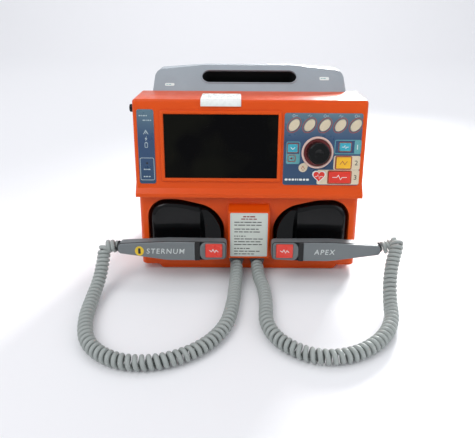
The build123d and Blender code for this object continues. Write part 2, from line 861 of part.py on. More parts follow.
with BuildPart() as housing_screws:
    for x, z in screw_spots:
        with BuildSketch(back_plane(z, 0.0).offset(0.1)):
            with Locations((-x, 0)):
                Circle(screw_head_radius)
                RegularPolygon(1.5, 6, mode=Mode.SUBTRACT)
        extrude(amount=2.2)
        with BuildSketch(back_plane(z, 0.0).offset(0.1)):
            with Locations((-x, 0)):
                Circle(screw_radius)
        extrude(amount=-screw_length)
        with BuildSketch(back_plane(z, 0.0).offset(0.1)):
            with Locations((-x, 0)):
                Circle(screw_head_radius)
        extrude(amount=0.9)
save(housing_screws, "housing_screws")

# ------------------------------------------------------------------ inside the case
with BuildPart() as battery_pack:
    with BuildSketch(cover_plane.offset(-wall - 1.0)):
        with Locations((-cover_x, 0)):
            RectangleRounded(cover_width - 8.0, cover_height - 8.0, 3.0)
    extrude(amount=-52.0)
save(battery_pack, "battery_pack")

with BuildPart() as power_supply:
    with BuildSketch(Plane.XY.offset(base_height + wall + 4.0)):
        with Locations((-90.0, seam_y + 20.0)):
            Rectangle(70.0, 44.0)
    extrude(amount=1.6)
    with BuildSketch(Plane.XY.offset(base_height + wall + 5.6)):
        with Locations((-104.0, seam_y + 18.0)):
            Rectangle(24.0, 30.0)
        with Locations((-72.0, seam_y + 24.0)):
            Circle(11.0)
    extrude(amount=26.0)
save(power_supply, "power_supply")

with BuildPart() as hv_capacitor:
    with BuildSketch(Plane.YZ.offset(-20.0)):
        with Locations((seam_y - 13.0, 76.0)):
            Circle(25.0)
    extrude(amount=92.0)
    fillet(hv_capacitor.edges().filter_by(GeomType.CIRCLE), radius=2.0)
save(hv_capacitor, "hv_capacitor")

with BuildPart() as main_board:
    with BuildSketch(Plane.XZ.offset(-(seam_y - 12.0))):
        with Locations((0, 176.0)):
            RectangleRounded(250.0, 92.0, 3.0)
    extrude(amount=1.6)
    with BuildSketch(Plane.XZ.offset(-(seam_y - 12.0) + 1.6)):
        with Locations((-70.0, 186.0), (10.0, 170.0), (78.0, 192.0)):
            Rectangle(28.0, 28.0)
    extrude(amount=3.0)
save(main_board, "main_board")

with BuildPart() as speaker:
    with BuildSketch(Plane.YZ.offset(-rear_width / 2 + wall + 0.5)):
        with Locations((front_y + grille_y + seam_depth / 2, grille_z)):
            Circle(19.0)
    extrude(amount=5.0)
    with BuildSketch(Plane.YZ.offset(-rear_width / 2 + wall + 5.5)):
        with Locations((front_y + grille_y + seam_depth / 2, grille_z)):
            Circle(17.0)
    extrude(amount=11.0, taper=25.0)
save(speaker, "speaker")

# ================================================================== base
skirt_depth = case_depth - skirt_back - 1.0
skirt_middle = front_y + 1.0 + skirt_depth / 2
foot_places = [
    (x, y)
    for x in (-skirt_half + foot_inset, skirt_half - foot_inset)
    for y in (front_y + 1.0 + foot_inset, front_y + 1.0 + skirt_depth - foot_inset)
]
with BuildPart() as base_skirt:
    with BuildSketch(Plane.XY.offset(foot_show)):
        with Locations((0, skirt_middle)):
            RectangleRounded(2 * skirt_half, skirt_depth, 8.0)
    with BuildSketch(Plane.XY.offset(base_height - 0.1)):
        with Locations((0, skirt_middle)):
            RectangleRounded(2 * (skirt_half + skirt_flare), skirt_depth, 9.0)
    loft()
    with BuildSketch(Plane.XY.offset(foot_show - 1.0)):
        with Locations(*foot_places):
            Circle(foot_radius + piece_gap)
    extrude(amount=1.0 + foot_height - foot_show, mode=Mode.SUBTRACT)
save(base_skirt, "base_skirt")

with BuildPart() as rubber_feet:
    with BuildSketch():
        with Locations(*foot_places):
            Circle(foot_radius)
    extrude(amount=foot_height - piece_gap)
    fillet(rubber_feet.edges().group_by(Axis.Z)[0], radius=0.6)
save(rubber_feet, "rubber_feet")

# ================================================================== paddles
base_rear = -well_depth + contact_height + contact_gap + electrode_thickness


def bar_outline(side, inset):
    """Closed outline of the grip bar, drawn in by inset, and its corner radii."""
    low, high = bar_bottom + inset, bar_top - inset
    inner, outer = bar_inner + inset, bar_outer - inset
    points = [
        (side * inner, low + bar_inner_rise),
        (side * inner, high - 0.6),
        (side * slant_start, high),
        (side * outer, high - bar_outer_drop),
        (side * outer, low + bar_outer_rise),
        (side * slant_start, low),
        (side * flat_start, low),
    ]
    radii = [4.0, 4.0, 60.0, 5.0, 4.0, 60.0, 40.0]
    return points, radii


def bar_face(side, inset):
    """The bar's outline as a flat face."""
    points, radii = bar_outline(side, inset)
    with BuildSketch() as face:
        with BuildLine():
            FilletPolyline(*points, radius=radii, close=True)
        make_face()
    return face.sketch


def slab(side, low, high, near, far):
    """A flat rectangle between two distances from the middle and two heights."""
    with BuildSketch() as face:
        with Locations((side * (near + far) / 2, (low + high) / 2)):
            Rectangle(far - near, high - low)
    return face.sketch


plan = Plane(origin=front.origin, x_dir=front.x_dir, z_dir=-front.y_dir)
neck_back = base_front - base_edge


def neck(side):
    """The curved neck that carries the bar on its dome."""
    with BuildPart() as solid:
        with BuildSketch(front.offset(neck_back)):
            add(well_face(side, paddle_clearance + neck_inset))
        extrude(amount=bar_back - neck_back)
        with BuildSketch(Plane.YZ):
            with BuildLine():
                Polyline(
                    front_yz(neck_crown, neck_back),
                    front_yz(neck_low, neck_back),
                    front_yz(neck_low, bar_back),
                    front_yz(neck_high, bar_back),
                )
                ThreePointArc(
                    front_yz(neck_high, bar_back),
                    front_yz(*neck_bulge),
                    front_yz(neck_crown, neck_back),
                )
            make_face()
        extrude(amount=case_width, both=True, mode=Mode.INTERSECT)
        with BuildSketch(plan):
            with BuildLine():
                Polyline(
                    (side * neck_spread, neck_back),
                    (0.0, neck_back),
                    (0.0, bar_back),
                    (side * neck_outer, bar_back),
                )
                ThreePointArc(
                    (side * neck_outer, bar_back),
                    (side * neck_waist[0], neck_waist[1]),
                    (side * neck_spread, neck_back),
                )
            make_face()
        extrude(amount=case_width, both=True, mode=Mode.INTERSECT)
    return solid.part


for name, side in sides.items():
    with BuildPart() as base:
        with BuildSketch(front.offset(base_rear)):
            add(well_face(side, paddle_clearance))
        extrude(amount=base_front - base_rear)
        fillet(base.faces().sort_by(outwards)[-1].edges(), radius=base_edge)
        with BuildSketch(front.offset(base_rear)):
            add(well_face(side, paddle_clearance + electrode_margin + electrode_lap))
        extrude(amount=base_front - base_floor - base_rear, mode=Mode.SUBTRACT)
        add(neck(side))
    save(base, f"{name}_base")

    with BuildPart() as electrode:
        with BuildSketch(front.offset(base_rear)):
            add(well_face(side, paddle_clearance + electrode_margin))
        extrude(amount=-electrode_thickness)
    save(electrode, f"{name}_electrode")

    gland_plane = Plane(
        origin=at_front(side * bar_outer, gland_up, gland_out), x_dir=(0, 0, 1), z_dir=(side, 0, 0)
    )
    with BuildPart() as grip_rear:
        with BuildSketch(front.offset(bar_back)):
            add(bar_face(side, 0.0))
        extrude(amount=bar_split - bar_back)
        fillet(grip_rear.faces().sort_by(outwards)[0].edges(), radius=bar_back_round)
        with BuildSketch(front.offset(bar_back + bar_wall + 1.0)):
            add(bar_face(side, bar_wall))
        extrude(amount=bar_split - bar_back, mode=Mode.SUBTRACT)
        with BuildSketch(gland_plane.offset(-6.0)):
            Circle(gland_tip - bar_wall + gland_bore_gap)
        extrude(amount=8.0, mode=Mode.SUBTRACT)
    save(grip_rear, f"{name}_grip_rear")

    with BuildPart() as grip_seal:
        with BuildSketch(front.offset(bar_split)):
            add(bar_face(side, 0.3))
            add(bar_face(side, seal_lap), mode=Mode.SUBTRACT)
        extrude(amount=seal_thickness)
        with BuildSketch(front.offset(bar_split)):
            add(bar_face(side, 0.3))
            add(
                slab(side, bar_bottom, bar_top, band_inner + piece_gap, band_outer - piece_gap),
                mode=Mode.INTERSECT,
            )
        extrude(amount=face_front - 0.3 - bar_split)
    save(grip_seal, f"{name}_grip_seal")

    seal_front = bar_split + seal_thickness
    with BuildPart() as grip_face:
        with BuildSketch(front.offset(seal_front)):
            add(bar_face(side, 0.7))
            add(slab(side, bar_bottom, bar_top, band_outer, bar_outer), mode=Mode.INTERSECT)
        extrude(amount=face_front - seal_front)
        fillet(grip_face.faces().sort_by(outwards)[-1].edges(), radius=face_round)
    save(grip_face, f"{name}_grip_face")

    with BuildPart() as button_housing:
        with BuildSketch(front.offset(seal_front)):
            add(bar_face(side, 0.9))
            add(slab(side, bar_bottom, bar_top, bar_inner, band_inner), mode=Mode.INTERSECT)
            fillet(
                [
                    corner
                    for corner in vertices()
                    if abs(abs(corner.X) - band_inner) < 0.1
                ],
                radius=8.0,
            )
        extrude(amount=face_front + 0.4 - seal_front)
        fillet(button_housing.faces().sort_by(outwards)[-1].edges(), radius=1.2)
        with BuildSketch(front.offset(face_front + 2.0)):
            with Locations((side * button_x, button_up)):
                RectangleRounded(
                    button_width + 2 * button_clearance, button_height + 2 * button_clearance, 2.0
                )
        extrude(amount=-(face_front + 2.0 - bar_split), mode=Mode.SUBTRACT)
        with BuildSketch(front.offset(face_front + 0.4 - housing_lip)):
            with Locations((side * button_x, button_up)):
                Rectangle(
                    button_width + 2 * button_clearance + 2 * button_rim,
                    button_height + 2 * button_clearance,
                )
        extrude(amount=-(face_front + 0.4 - housing_lip - bar_split), mode=Mode.SUBTRACT)
    save(button_housing, f"{name}_button_housing")

    rim_front = face_front + 0.4 - housing_lip - running_gap
    rim_back = bar_split + button_travel + running_gap
    with BuildPart() as button:
        with BuildSketch(front.offset(rim_back)):
            with Locations((side * button_x, button_up)):
                Rectangle(button_width + 2 * button_rim, button_height)
        extrude(amount=rim_front - rim_back)
        with BuildSketch(front.offset(rim_front)):
            with Locations((side * button_x, button_up)):
                RectangleRounded(button_width, button_height, 1.6)
        extrude(amount=face_front + button_raise - rim_front)
        fillet(button.faces().sort_by(outwards)[-1].edges(), radius=1.0)
        with BuildSketch(front.offset(rim_back)):
            with Locations((side * button_x, button_up)):
                Rectangle(10.0, 8.0)
        extrude(amount=-5.0)
    save(button, f"{name}_button")

    with BuildPart() as switch:
        with BuildSketch(front.offset(rim_back - 5.0 - button_travel - running_gap)):
            with Locations((side * button_x, button_up)):
                Rectangle(switch_size[0], switch_size[1])
        extrude(amount=-switch_size[2])
    save(switch, f"{name}_switch")

    with BuildPart() as gland:
        with BuildSketch(gland_plane):
            Circle(gland_root)
        extrude(amount=gland_length)
        gland_rim = gland.faces().sort_by(Axis(gland_plane.origin, gland_plane.z_dir))[-1].edges()
        fillet(gland_rim, radius=0.8)
        with BuildSketch(gland_plane):
            Circle(gland_tip - bar_wall)
        extrude(amount=-(bar_wall + 3.0))
    save(gland, f"{name}_gland")

# ================================================================== cords
# Each curly cord is one tube of the curl's outside, along a hand-chosen route: out of its outlet,
# down to the table, round in a loose loop in front of the case, and up to its paddle's outer end.
cord_floor = cord_radius + 0.1
cord_gap = 0.3              # between the cord's end and the paddle's gland
first_run = 24.0
last_run = 18.0
routes = {
    "sternum": [
        (-18.5, -140.0, cord_floor),
        (-21.5, -182.0, cord_floor),
        (-30.0, -226.0, cord_floor),
        (-56.0, -262.0, cord_floor),
        (-98.0, -284.0, cord_floor),
        (-146.0, -283.0, cord_floor),
        (-184.0, -256.0, cord_floor),
        (-199.0, -214.0, cord_floor),
        (-204.0, -172.0, 11.0),
        (-208.0, -136.0, 22.0),
        (-209.5, -113.0, 39.5),
    ],
    "apex": [
        (20.0, -142.0, cord_floor),
        (20.5, -180.0, cord_floor),
        (19.0, -218.0, cord_floor),
        (36.0, -252.0, cord_floor),
        (72.0, -274.0, cord_floor),
        (114.0, -270.0, cord_floor),
        (150.0, -245.0, cord_floor),
        (175.0, -208.0, cord_floor),
        (193.0, -172.0, 11.5),
        (206.0, -138.0, 23.0),
        (209.5, -113.0, 39.5),
    ],
}
for name, side in sides.items():
    outlet = outlet_planes[name]
    start = outlet.from_local_coords(Vector(0, 0, bush_length))
    second = outlet.from_local_coords(Vector(0, 0, bush_length + first_run))
    entry = at_front(side * (bar_outer + gland_length + cord_gap), gland_up, gland_out)
    last = entry + Vector(side * last_run, 0, 0)
    route = [start, second, *[Vector(*point) for point in routes[name]], last, entry]
    runs = [(after - before).length for before, after in zip(route, route[1:])]
    turns = [
        (middle - before).get_angle(after - middle)
        for before, middle, after in zip(route, route[1:], route[2:])
    ]
    bends = [
        0.45 * min(before, after) / tan(radians(turn) / 2)
        for before, after, turn in zip(runs, runs[1:], turns)
    ]
    with BuildPart() as cord:
        with BuildLine() as path:
            FilletPolyline(*route, radius=bends)
        with BuildSketch(Plane(origin=start, z_dir=outlet.z_dir)):
            Circle(cord_radius)
        sweep()
    length = sum(edge.length for edge in path.edges())
    volume = pi * cord_radius**2 * length
    share = cord.part.volume / volume
    print(name, "cord: length", round(length, 1), "volume share", round(share, 4))
    print("  runs", [round(run) for run in runs])
    print("  turns", [round(turn) for turn in turns])
    print("  radii", [round(bend) for bend in bends])
    print("  gap to the table", round(cord.part.bounding_box().min.Z, 2))
    save(cord, f"{name}_cord")
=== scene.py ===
"""Looks of a portable defibrillator with two hand paddles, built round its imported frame.

The frame is in metres. Sizes written here are millimetres on a named flat plane of the
object, or in the frame's own axes for the cords, and turn into metres where a point is made.
"""
import json
import logging
from dataclasses import dataclass, field
from enum import Enum
from math import cos, hypot, pi, radians, sin, tau

import bpy
import numpy as np
from mathutils import Matrix, Vector


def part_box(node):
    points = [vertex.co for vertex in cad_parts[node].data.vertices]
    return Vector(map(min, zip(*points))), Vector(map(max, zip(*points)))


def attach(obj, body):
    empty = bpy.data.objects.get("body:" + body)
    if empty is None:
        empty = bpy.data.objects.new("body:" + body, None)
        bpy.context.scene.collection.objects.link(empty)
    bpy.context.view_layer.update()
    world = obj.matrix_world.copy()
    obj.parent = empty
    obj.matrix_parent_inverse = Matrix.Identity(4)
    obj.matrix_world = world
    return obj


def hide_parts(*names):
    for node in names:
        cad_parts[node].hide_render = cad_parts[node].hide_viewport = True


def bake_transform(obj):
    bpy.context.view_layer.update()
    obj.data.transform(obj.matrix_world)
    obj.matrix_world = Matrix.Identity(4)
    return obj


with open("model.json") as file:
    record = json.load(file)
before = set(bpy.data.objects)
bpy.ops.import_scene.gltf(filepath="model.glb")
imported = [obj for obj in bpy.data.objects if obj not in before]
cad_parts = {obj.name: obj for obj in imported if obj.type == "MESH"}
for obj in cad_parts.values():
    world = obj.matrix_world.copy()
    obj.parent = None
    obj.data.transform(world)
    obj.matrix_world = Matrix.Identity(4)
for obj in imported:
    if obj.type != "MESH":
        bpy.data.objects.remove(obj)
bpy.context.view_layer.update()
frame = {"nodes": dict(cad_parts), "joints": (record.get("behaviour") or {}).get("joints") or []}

MM = 0.001
FACING = 0.85          # least cosine for a face that looks one way
CAP_SHARE = 0.69       # height of a capital in its letter size
LETTER_RISE = 0.03     # half the thickness of a letter, in millimetres
LETTER_SWELL = 0.006   # how much a stroke grows, in capital heights
log = logging.getLogger("defibrillator")

Point = tuple[float, float]
Loop = list[Point]
Socket = bpy.types.NodeSocket


class Tone(Enum):
    """Colours of the plastics, films and inks, as display values."""

    ORANGE = (218, 77, 8)
    ORANGE_WORN = (238, 136, 70)
    GREY = (150, 158, 165)
    GREY_WORN = (196, 202, 206)
    GRIP = (104, 110, 112)
    GRIP_WORN = (138, 143, 144)
    FACE = (112, 118, 120)
    GLOSS_BLACK = (7, 8, 9)
    BLACK_WORN = (52, 54, 58)
    RUBBER = (20, 21, 22)
    CORD = (158, 164, 161)
    CORD_WORN = (184, 189, 186)
    FILM_TOP = (90, 118, 132)
    FILM_MIDDLE = (46, 74, 110)
    FILM_FOOT = (36, 70, 102)
    PLATE = (82, 90, 80)
    PLATE_PRINT = (38, 42, 38)
    PLATE_RED = (134, 44, 36)
    LETTER = (204, 209, 206)
    CREAM = (214, 200, 172)
    RING = (226, 190, 178)
    CYAN = (52, 164, 184)
    TEAL = (92, 160, 164)
    AMBER = (242, 184, 34)
    RED = (222, 48, 30)
    DEEP_RED = (112, 22, 16)
    BROWN = (168, 74, 44)
    INK_WHITE = (226, 230, 226)
    INK_PALE = (176, 192, 196)
    INK_BLACK = (26, 28, 30)
    INK_YELLOW = (224, 188, 40)
    LENS = (244, 247, 244)
    # painted shade that the alarm lens darkens to at its foot
    LENS_PAINTED_SHADE = (196, 206, 196)
    STEEL = (178, 178, 174)
    CHROME = (206, 206, 204)
    BOARD = (24, 84, 52)
    WRAP = (30, 44, 92)
    BASKET = (38, 38, 42)
    FLOOR = (238, 238, 240)

    @property
    def linear(self) -> tuple[float, float, float, float]:
        """The colour as the shaders take it."""
        channels = [c / 255 for c in self.value]
        curve = [c / 12.92 if c < 0.04045 else ((c + 0.055) / 1.055) ** 2.4 for c in channels]
        return (*curve, 1.0)


# ---------------------------------------------------------------------- shader wiring
class Wiring:
    """Short ways to add and join the nodes of one tree."""

    def __init__(self, tree: bpy.types.NodeTree) -> None:
        """Keeps the tree that the nodes go into."""
        self.tree = tree

    def add(self, kind: str, inputs: dict | None = None, **settings: object) -> bpy.types.Node:
        """Adds a node.

        Args:
            kind: the node's type.
            inputs: input name or number to a value, or to the socket that feeds it.
            settings: the node's own properties.

        Returns:
            The new node.
        """
        node = self.tree.nodes.new(kind)
        for key, value in settings.items():
            setattr(node, key, value)
        for key, value in (inputs or {}).items():
            if isinstance(value, Socket):
                self.tree.links.new(value, node.inputs[key])
            else:
                node.inputs[key].default_value = value
        return node

    def noise(self, scale: float | Socket, detail: float = 3.0, stretch: tuple | None = None) -> Socket:
        """Noise over the piece's own coordinates.

        Args:
            scale: features per metre.
            detail: octaves.
            stretch: scale of the coordinates along each axis, if not even.

        Returns:
            A value from 0 to 1.
        """
        where = self.add("ShaderNodeTexCoord").outputs["Object"]
        if stretch:
            where = self.add("ShaderNodeMapping", {"Vector": where, "Scale": stretch}).outputs[0]
        texture = self.add("ShaderNodeTexNoise", {"Vector": where, "Scale": scale, "Detail": detail})
        return texture.outputs["Fac"]

    def math(self, operation: str, a: float | Socket, b: float | Socket) -> Socket:
        """One sum, kept from 0 to 1."""
        return self.add("ShaderNodeMath", {0: a, 1: b}, operation=operation, use_clamp=True).outputs[0]

    def remap(self, value: Socket, low: float, high: float, to_low: float, to_high: float) -> Socket:
        """A range of a value stretched or turned over to another.

        Args:
            value: what is read.
            low: start of the range that counts.
            high: its end.
            to_low: result at the start.
            to_high: result at the end.

        Returns:
            The new value, held at its two ends.
        """
        given = {"Value": value, "From Min": low, "From Max": high, "To Min": to_low, "To Max": to_high}
        return self.add("ShaderNodeMapRange", given).outputs[0]

    def mix(self, share: float | Socket, first: object, second: object) -> Socket:
        """A colour between two."""
        given = {0: share, 6: first, 7: second}
        return self.add("ShaderNodeMix", given, data_type="RGBA").outputs[2]

    def bump(self, height: Socket, rise: float) -> Socket:
        """A normal from a height.

        Args:
            height: from 0 to 1.
            rise: the relief in millimetres.

        Returns:
            The normal.
        """
        given = {"Height": height, "Distance": rise * MM, "Strength": 1.0}
        return self.add("ShaderNodeBump", given).outputs[0]


class SharedEffect(Enum):
    """Shader groups that more than one finish uses."""

    GRAIN = "moulded_grain"
    EDGE = "edge_wear"
    DUST = "settled_dust"
    HANDLING = "handling_marks"


class EffectShelf:
    """Builds each shared effect once and hands out nodes that use it."""

    def __init__(self) -> None:
        """Starts with no groups."""
        self.groups: dict[SharedEffect, bpy.types.NodeTree] = {}

    def use(self, wiring: Wiring, effect: SharedEffect, **inputs: object) -> bpy.types.Node:
        """Places a shared effect in a material.

        Args:
            wiring: the material's wiring.
            effect: which group.
            inputs: values of its named sockets.

        Returns:
            The group node.
        """
        if effect not in self.groups:
            maker = {
                SharedEffect.GRAIN: self._grain,
                SharedEffect.EDGE: self._edge,
                SharedEffect.DUST: self._dust,
                SharedEffect.HANDLING: self._handling,
            }[effect]
            self.groups[effect] = maker(effect.value)
        node = wiring.add("ShaderNodeGroup", node_tree=self.groups[effect])
        for name, value in inputs.items():
            node.inputs[name].default_value = value
        return node

    def _new(self, name: str, takes: dict[str, str], gives: dict[str, str]) -> tuple:
        """Makes an empty group.

        Args:
            name: the group's name.
            takes: input name to kind of socket.
            gives: output name to kind of socket.

        Returns:
            Its tree, wiring, input node and output node.
        """
        tree = bpy.data.node_groups.new(name, "ShaderNodeTree")
        for side, sockets in (("INPUT", takes), ("OUTPUT", gives)):
            for title, kind in sockets.items():
                tree.interface.new_socket(title, in_out=side, socket_type=f"NodeSocket{kind}")
        wiring = Wiring(tree)
        return tree, wiring, wiring.add("NodeGroupInput"), wiring.add("NodeGroupOutput")

    def _grain(self, name: str) -> bpy.types.NodeTree:
        """Fine spark-eroded grain with slow clouds in the colour."""
        takes = {"Colour": "Color", "Scale": "Float", "Mottle": "Float"}
        tree, w, given, out = self._new(name, takes, {"Colour": "Color", "Height": "Float"})
        fine = w.noise(given.outputs["Scale"], 4.0)
        patches = w.remap(w.noise(34.0, 4.0), 0.35, 0.7, 0.0, 1.0)
        clouds = w.math("MULTIPLY", patches, given.outputs["Mottle"])
        specks = w.math("MULTIPLY", w.remap(fine, 0.35, 0.7, 0.0, 0.5), given.outputs["Mottle"])
        darker = w.mix(0.55, given.outputs["Colour"], (0.0, 0.0, 0.0, 1.0))
        colour = w.mix(w.math("ADD", clouds, specks), given.outputs["Colour"], darker)
        tree.links.new(colour, out.inputs["Colour"])
        tree.links.new(fine, out.inputs["Height"])
        return tree

    def _edge(self, name: str) -> bpy.types.NodeTree:
        """Mask of the corners that hands and cloths rub pale."""
        tree, w, given, out = self._new(name, {"Radius": "Float", "Amount": "Float"}, {"Mask": "Float"})
        soft = w.add("ShaderNodeBevel", {"Radius": given.outputs["Radius"]}, samples=4).outputs[0]
        true = w.add("ShaderNodeNewGeometry").outputs["Normal"]
        match = w.add("ShaderNodeVectorMath", {0: soft, 1: true}, operation="DOT_PRODUCT").outputs["Value"]
        corner = w.remap(match, 0.995, 0.86, 0.0, 1.0)
        broken = w.remap(w.noise(260.0, 5.0), 0.38, 0.62, 0.15, 1.0)
        mask = w.math("MULTIPLY", w.math("MULTIPLY", corner, broken), given.outputs["Amount"])
        tree.links.new(mask, out.inputs["Mask"])
        return tree

    def _dust(self, name: str) -> bpy.types.NodeTree:
        """Mask of the dust that lies on what faces up."""
        tree, w, given, out = self._new(name, {"Amount": "Float"}, {"Mask": "Float"})
        normal = w.add("ShaderNodeNewGeometry").outputs["Normal"]
        up = w.add("ShaderNodeSeparateXYZ", {0: normal}).outputs["Z"]
        facing = w.remap(up, 0.3, 1.0, 0.0, 1.0)
        patches = w.remap(w.noise(90.0, 6.0), 0.4, 0.75, 0.1, 1.0)
        mask = w.math("MULTIPLY", w.math("MULTIPLY", facing, patches), given.outputs["Amount"])
        tree.links.new(mask, out.inputs["Mask"])
        return tree

    def _handling(self, name: str) -> bpy.types.NodeTree:
        """Roughness that hands polish in some places and grease in others."""
        takes = {"Roughness": "Float", "Spread": "Float"}
        tree, w, given, out = self._new(name, takes, {"Roughness": "Float"})
        marks = w.remap(w.noise(48.0, 7.0), 0.35, 0.65, -1.0, 1.0)
        swing = w.add("ShaderNodeMath", {0: marks, 1: given.outputs["Spread"]}, operation="MULTIPLY")
        rough = w.math("ADD", swing.outputs[0], given.outputs["Roughness"])
        tree.links.new(rough, out.inputs["Roughness"])
        return tree


EFFECTS = EffectShelf()


# ---------------------------------------------------------------------- finishes
@dataclass(frozen=True)
class Finish:
    """What every finish has: a name, and a material that is built once."""

    name: str

    def material(self) -> bpy.types.Material:
        """Returns the material of the finish's name, built when there is none yet.

        Returns:
            The material. One of the same name that the frame brings is returned as it is, and
            then nothing of this finish shows.
        """
        found = bpy.data.materials.get(self.name)
        if found:
            return found
        made = bpy.data.materials.new(self.name)
        made.use_nodes = True
        tree = made.node_tree
        shader = tree.nodes["Principled BSDF"]
        self.wire(Wiring(tree), shader)
        return made

    def wire(self, w: Wiring, shader: bpy.types.Node) -> None:
        """Joins the finish's nodes to the surface shader."""
        raise NotImplementedError

    def join(self, w: Wiring, shader: bpy.types.Node, sockets: dict[str, Socket | object]) -> None:
        """Sets or feeds the surface shader.

        Args:
            w: the material's wiring.
            shader: its surface shader.
            sockets: input name to a value or a socket.
        """
        for key, value in sockets.items():
            if isinstance(value, Socket):
                w.tree.links.new(value, shader.inputs[key])
            else:
                shader.inputs[key].default_value = value


@dataclass(frozen=True)
class Moulding(Finish):
    """Moulded plastic or rubber with a grain, rubbed corners, dust and handling marks."""

    tone: Tone
    worn: Tone
    roughness: float = 0.42
    spread: float = 0.05
    grain: float = 1500.0
    relief: float = 0.035
    mottle: float = 0.10
    wear: float = 0.45
    wear_radius: float = 1.2
    dust: float = 0.10
    coat: float = 0.0
    specular: float = 0.5

    def wire(self, w: Wiring, shader: bpy.types.Node) -> None:
        """Joins grain, wear, dust and handling to the surface."""
        grain = EFFECTS.use(
            w, SharedEffect.GRAIN, Colour=self.tone.linear, Scale=self.grain, Mottle=self.mottle
        )
        edge = EFFECTS.use(w, SharedEffect.EDGE, Radius=self.wear_radius * MM, Amount=self.wear)
        dust = EFFECTS.use(w, SharedEffect.DUST, Amount=self.dust)
        rough = EFFECTS.use(w, SharedEffect.HANDLING, Roughness=self.roughness, Spread=self.spread)
        worn = w.mix(edge.outputs["Mask"], grain.outputs["Colour"], self.worn.linear)
        colour = w.mix(dust.outputs["Mask"], worn, Tone.INK_PALE.linear)
        self.join(w, shader, {
            "Base Color": colour,
            "Roughness": w.math("ADD", rough.outputs[0], w.math("MULTIPLY", dust.outputs[0], 0.5)),
            "Normal": w.bump(grain.outputs["Height"], self.relief),
            "Coat Weight": self.coat,
            "Specular IOR Level": self.specular,
            "Coat Roughness": 0.12,
        })


@dataclass(frozen=True)
class Film(Finish):
    """Printed membrane film: a colour that changes up the panel under a fine velvet emboss."""

    tones: tuple[Tone, Tone, Tone]
    low: float
    high: float
    roughness: float = 0.34

    def wire(self, w: Wiring, shader: bpy.types.Node) -> None:
        """Joins the printed gradient and the emboss."""
        where = w.add("ShaderNodeTexCoord").outputs["Object"]
        height = w.add("ShaderNodeSeparateXYZ", {0: where}).outputs["Z"]
        ramp = w.add("ShaderNodeValToRGB", {0: w.remap(height, self.low, self.high, 0.0, 1.0)})
        stops = ramp.color_ramp.elements
        stops[0].color, stops[1].color = self.tones[2].linear, self.tones[0].linear
        stops.new(0.62).color = self.tones[1].linear
        grain = EFFECTS.use(w, SharedEffect.GRAIN, Scale=2600.0, Mottle=0.16)
        w.tree.links.new(ramp.outputs[0], grain.inputs["Colour"])
        edge = EFFECTS.use(w, SharedEffect.EDGE, Radius=0.5 * MM, Amount=0.5)
        rough = EFFECTS.use(w, SharedEffect.HANDLING, Roughness=self.roughness, Spread=0.08)
        self.join(w, shader, {
            "Base Color": w.mix(edge.outputs["Mask"], grain.outputs["Colour"], Tone.INK_PALE.linear),
            "Roughness": rough.outputs[0],
            "Normal": w.bump(grain.outputs["Height"], 0.012),
        })


@dataclass(frozen=True)
class Ink(Finish):
    """Screen-printed ink with a slightly uneven cover."""

    tone: Tone
    roughness: float = 0.38
    cover: float = 0.18

    def wire(self, w: Wiring, shader: bpy.types.Node) -> None:
        """Joins the ink's uneven cover and its rough print."""
        thin = w.math("MULTIPLY", w.remap(w.noise(900.0, 5.0), 0.45, 0.7, 0.0, 1.0), self.cover)
        rough = EFFECTS.use(w, SharedEffect.HANDLING, Roughness=self.roughness, Spread=0.06)
        self.join(w, shader, {
            "Base Color": w.mix(thin, self.tone.linear, Tone.FILM_MIDDLE.linear),
            "Roughness": rough.outputs[0],
            "Normal": w.bump(w.noise(1900.0, 3.0), 0.01),
        })


@dataclass(frozen=True)
class Metal(Finish):
    """Bare metal with drawn lines along one way and hairline marks."""

    tone: Tone
    roughness: float = 0.26
    lines: tuple[float, float, float] = (30.0, 2400.0, 2400.0)
    relief: float = 0.008

    def wire(self, w: Wiring, shader: bpy.types.Node) -> None:
        """Joins the drawn lines to colour, roughness and relief."""
        lines = w.noise(1.0, 4.0, self.lines)
        shade = w.remap(lines, 0.3, 0.7, 0.0, 0.35)
        rough = EFFECTS.use(w, SharedEffect.HANDLING, Roughness=self.roughness, Spread=0.07)
        self.join(w, shader, {
            "Base Color": w.mix(shade, self.tone.linear, Tone.GRIP.linear),
            "Roughness": rough.outputs[0],
            "Normal": w.bump(lines, self.relief),
            "Metallic": 1.0,
        })


@dataclass(frozen=True)
class DarkScreen(Finish):
    """A display that is off, behind clear glass with faint smears."""

    def wire(self, w: Wiring, shader: bpy.types.Node) -> None:
        """Joins the dark panel, faint olive reflections painted into its colour in patches, and the smeared
        glass.
        """
        # painted reflection: patches where the black panel turns faintly olive
        painted_reflection = w.remap(w.noise(13.0, 2.0), 0.46, 0.6, 0.0, 1.0)
        smear = w.remap(w.noise(1.0, 5.0, (60.0, 60.0, 16.0)), 0.4, 0.7, 0.03, 0.14)
        self.join(w, shader, {
            "Base Color": w.mix(painted_reflection, (0.001, 0.001, 0.0013, 1.0), (0.0045, 0.0047, 0.003, 1.0)),
            "Roughness": smear,
            "Normal": w.bump(w.noise(420.0, 2.0), 0.0006),
            "Specular IOR Level": 0.07,
        })


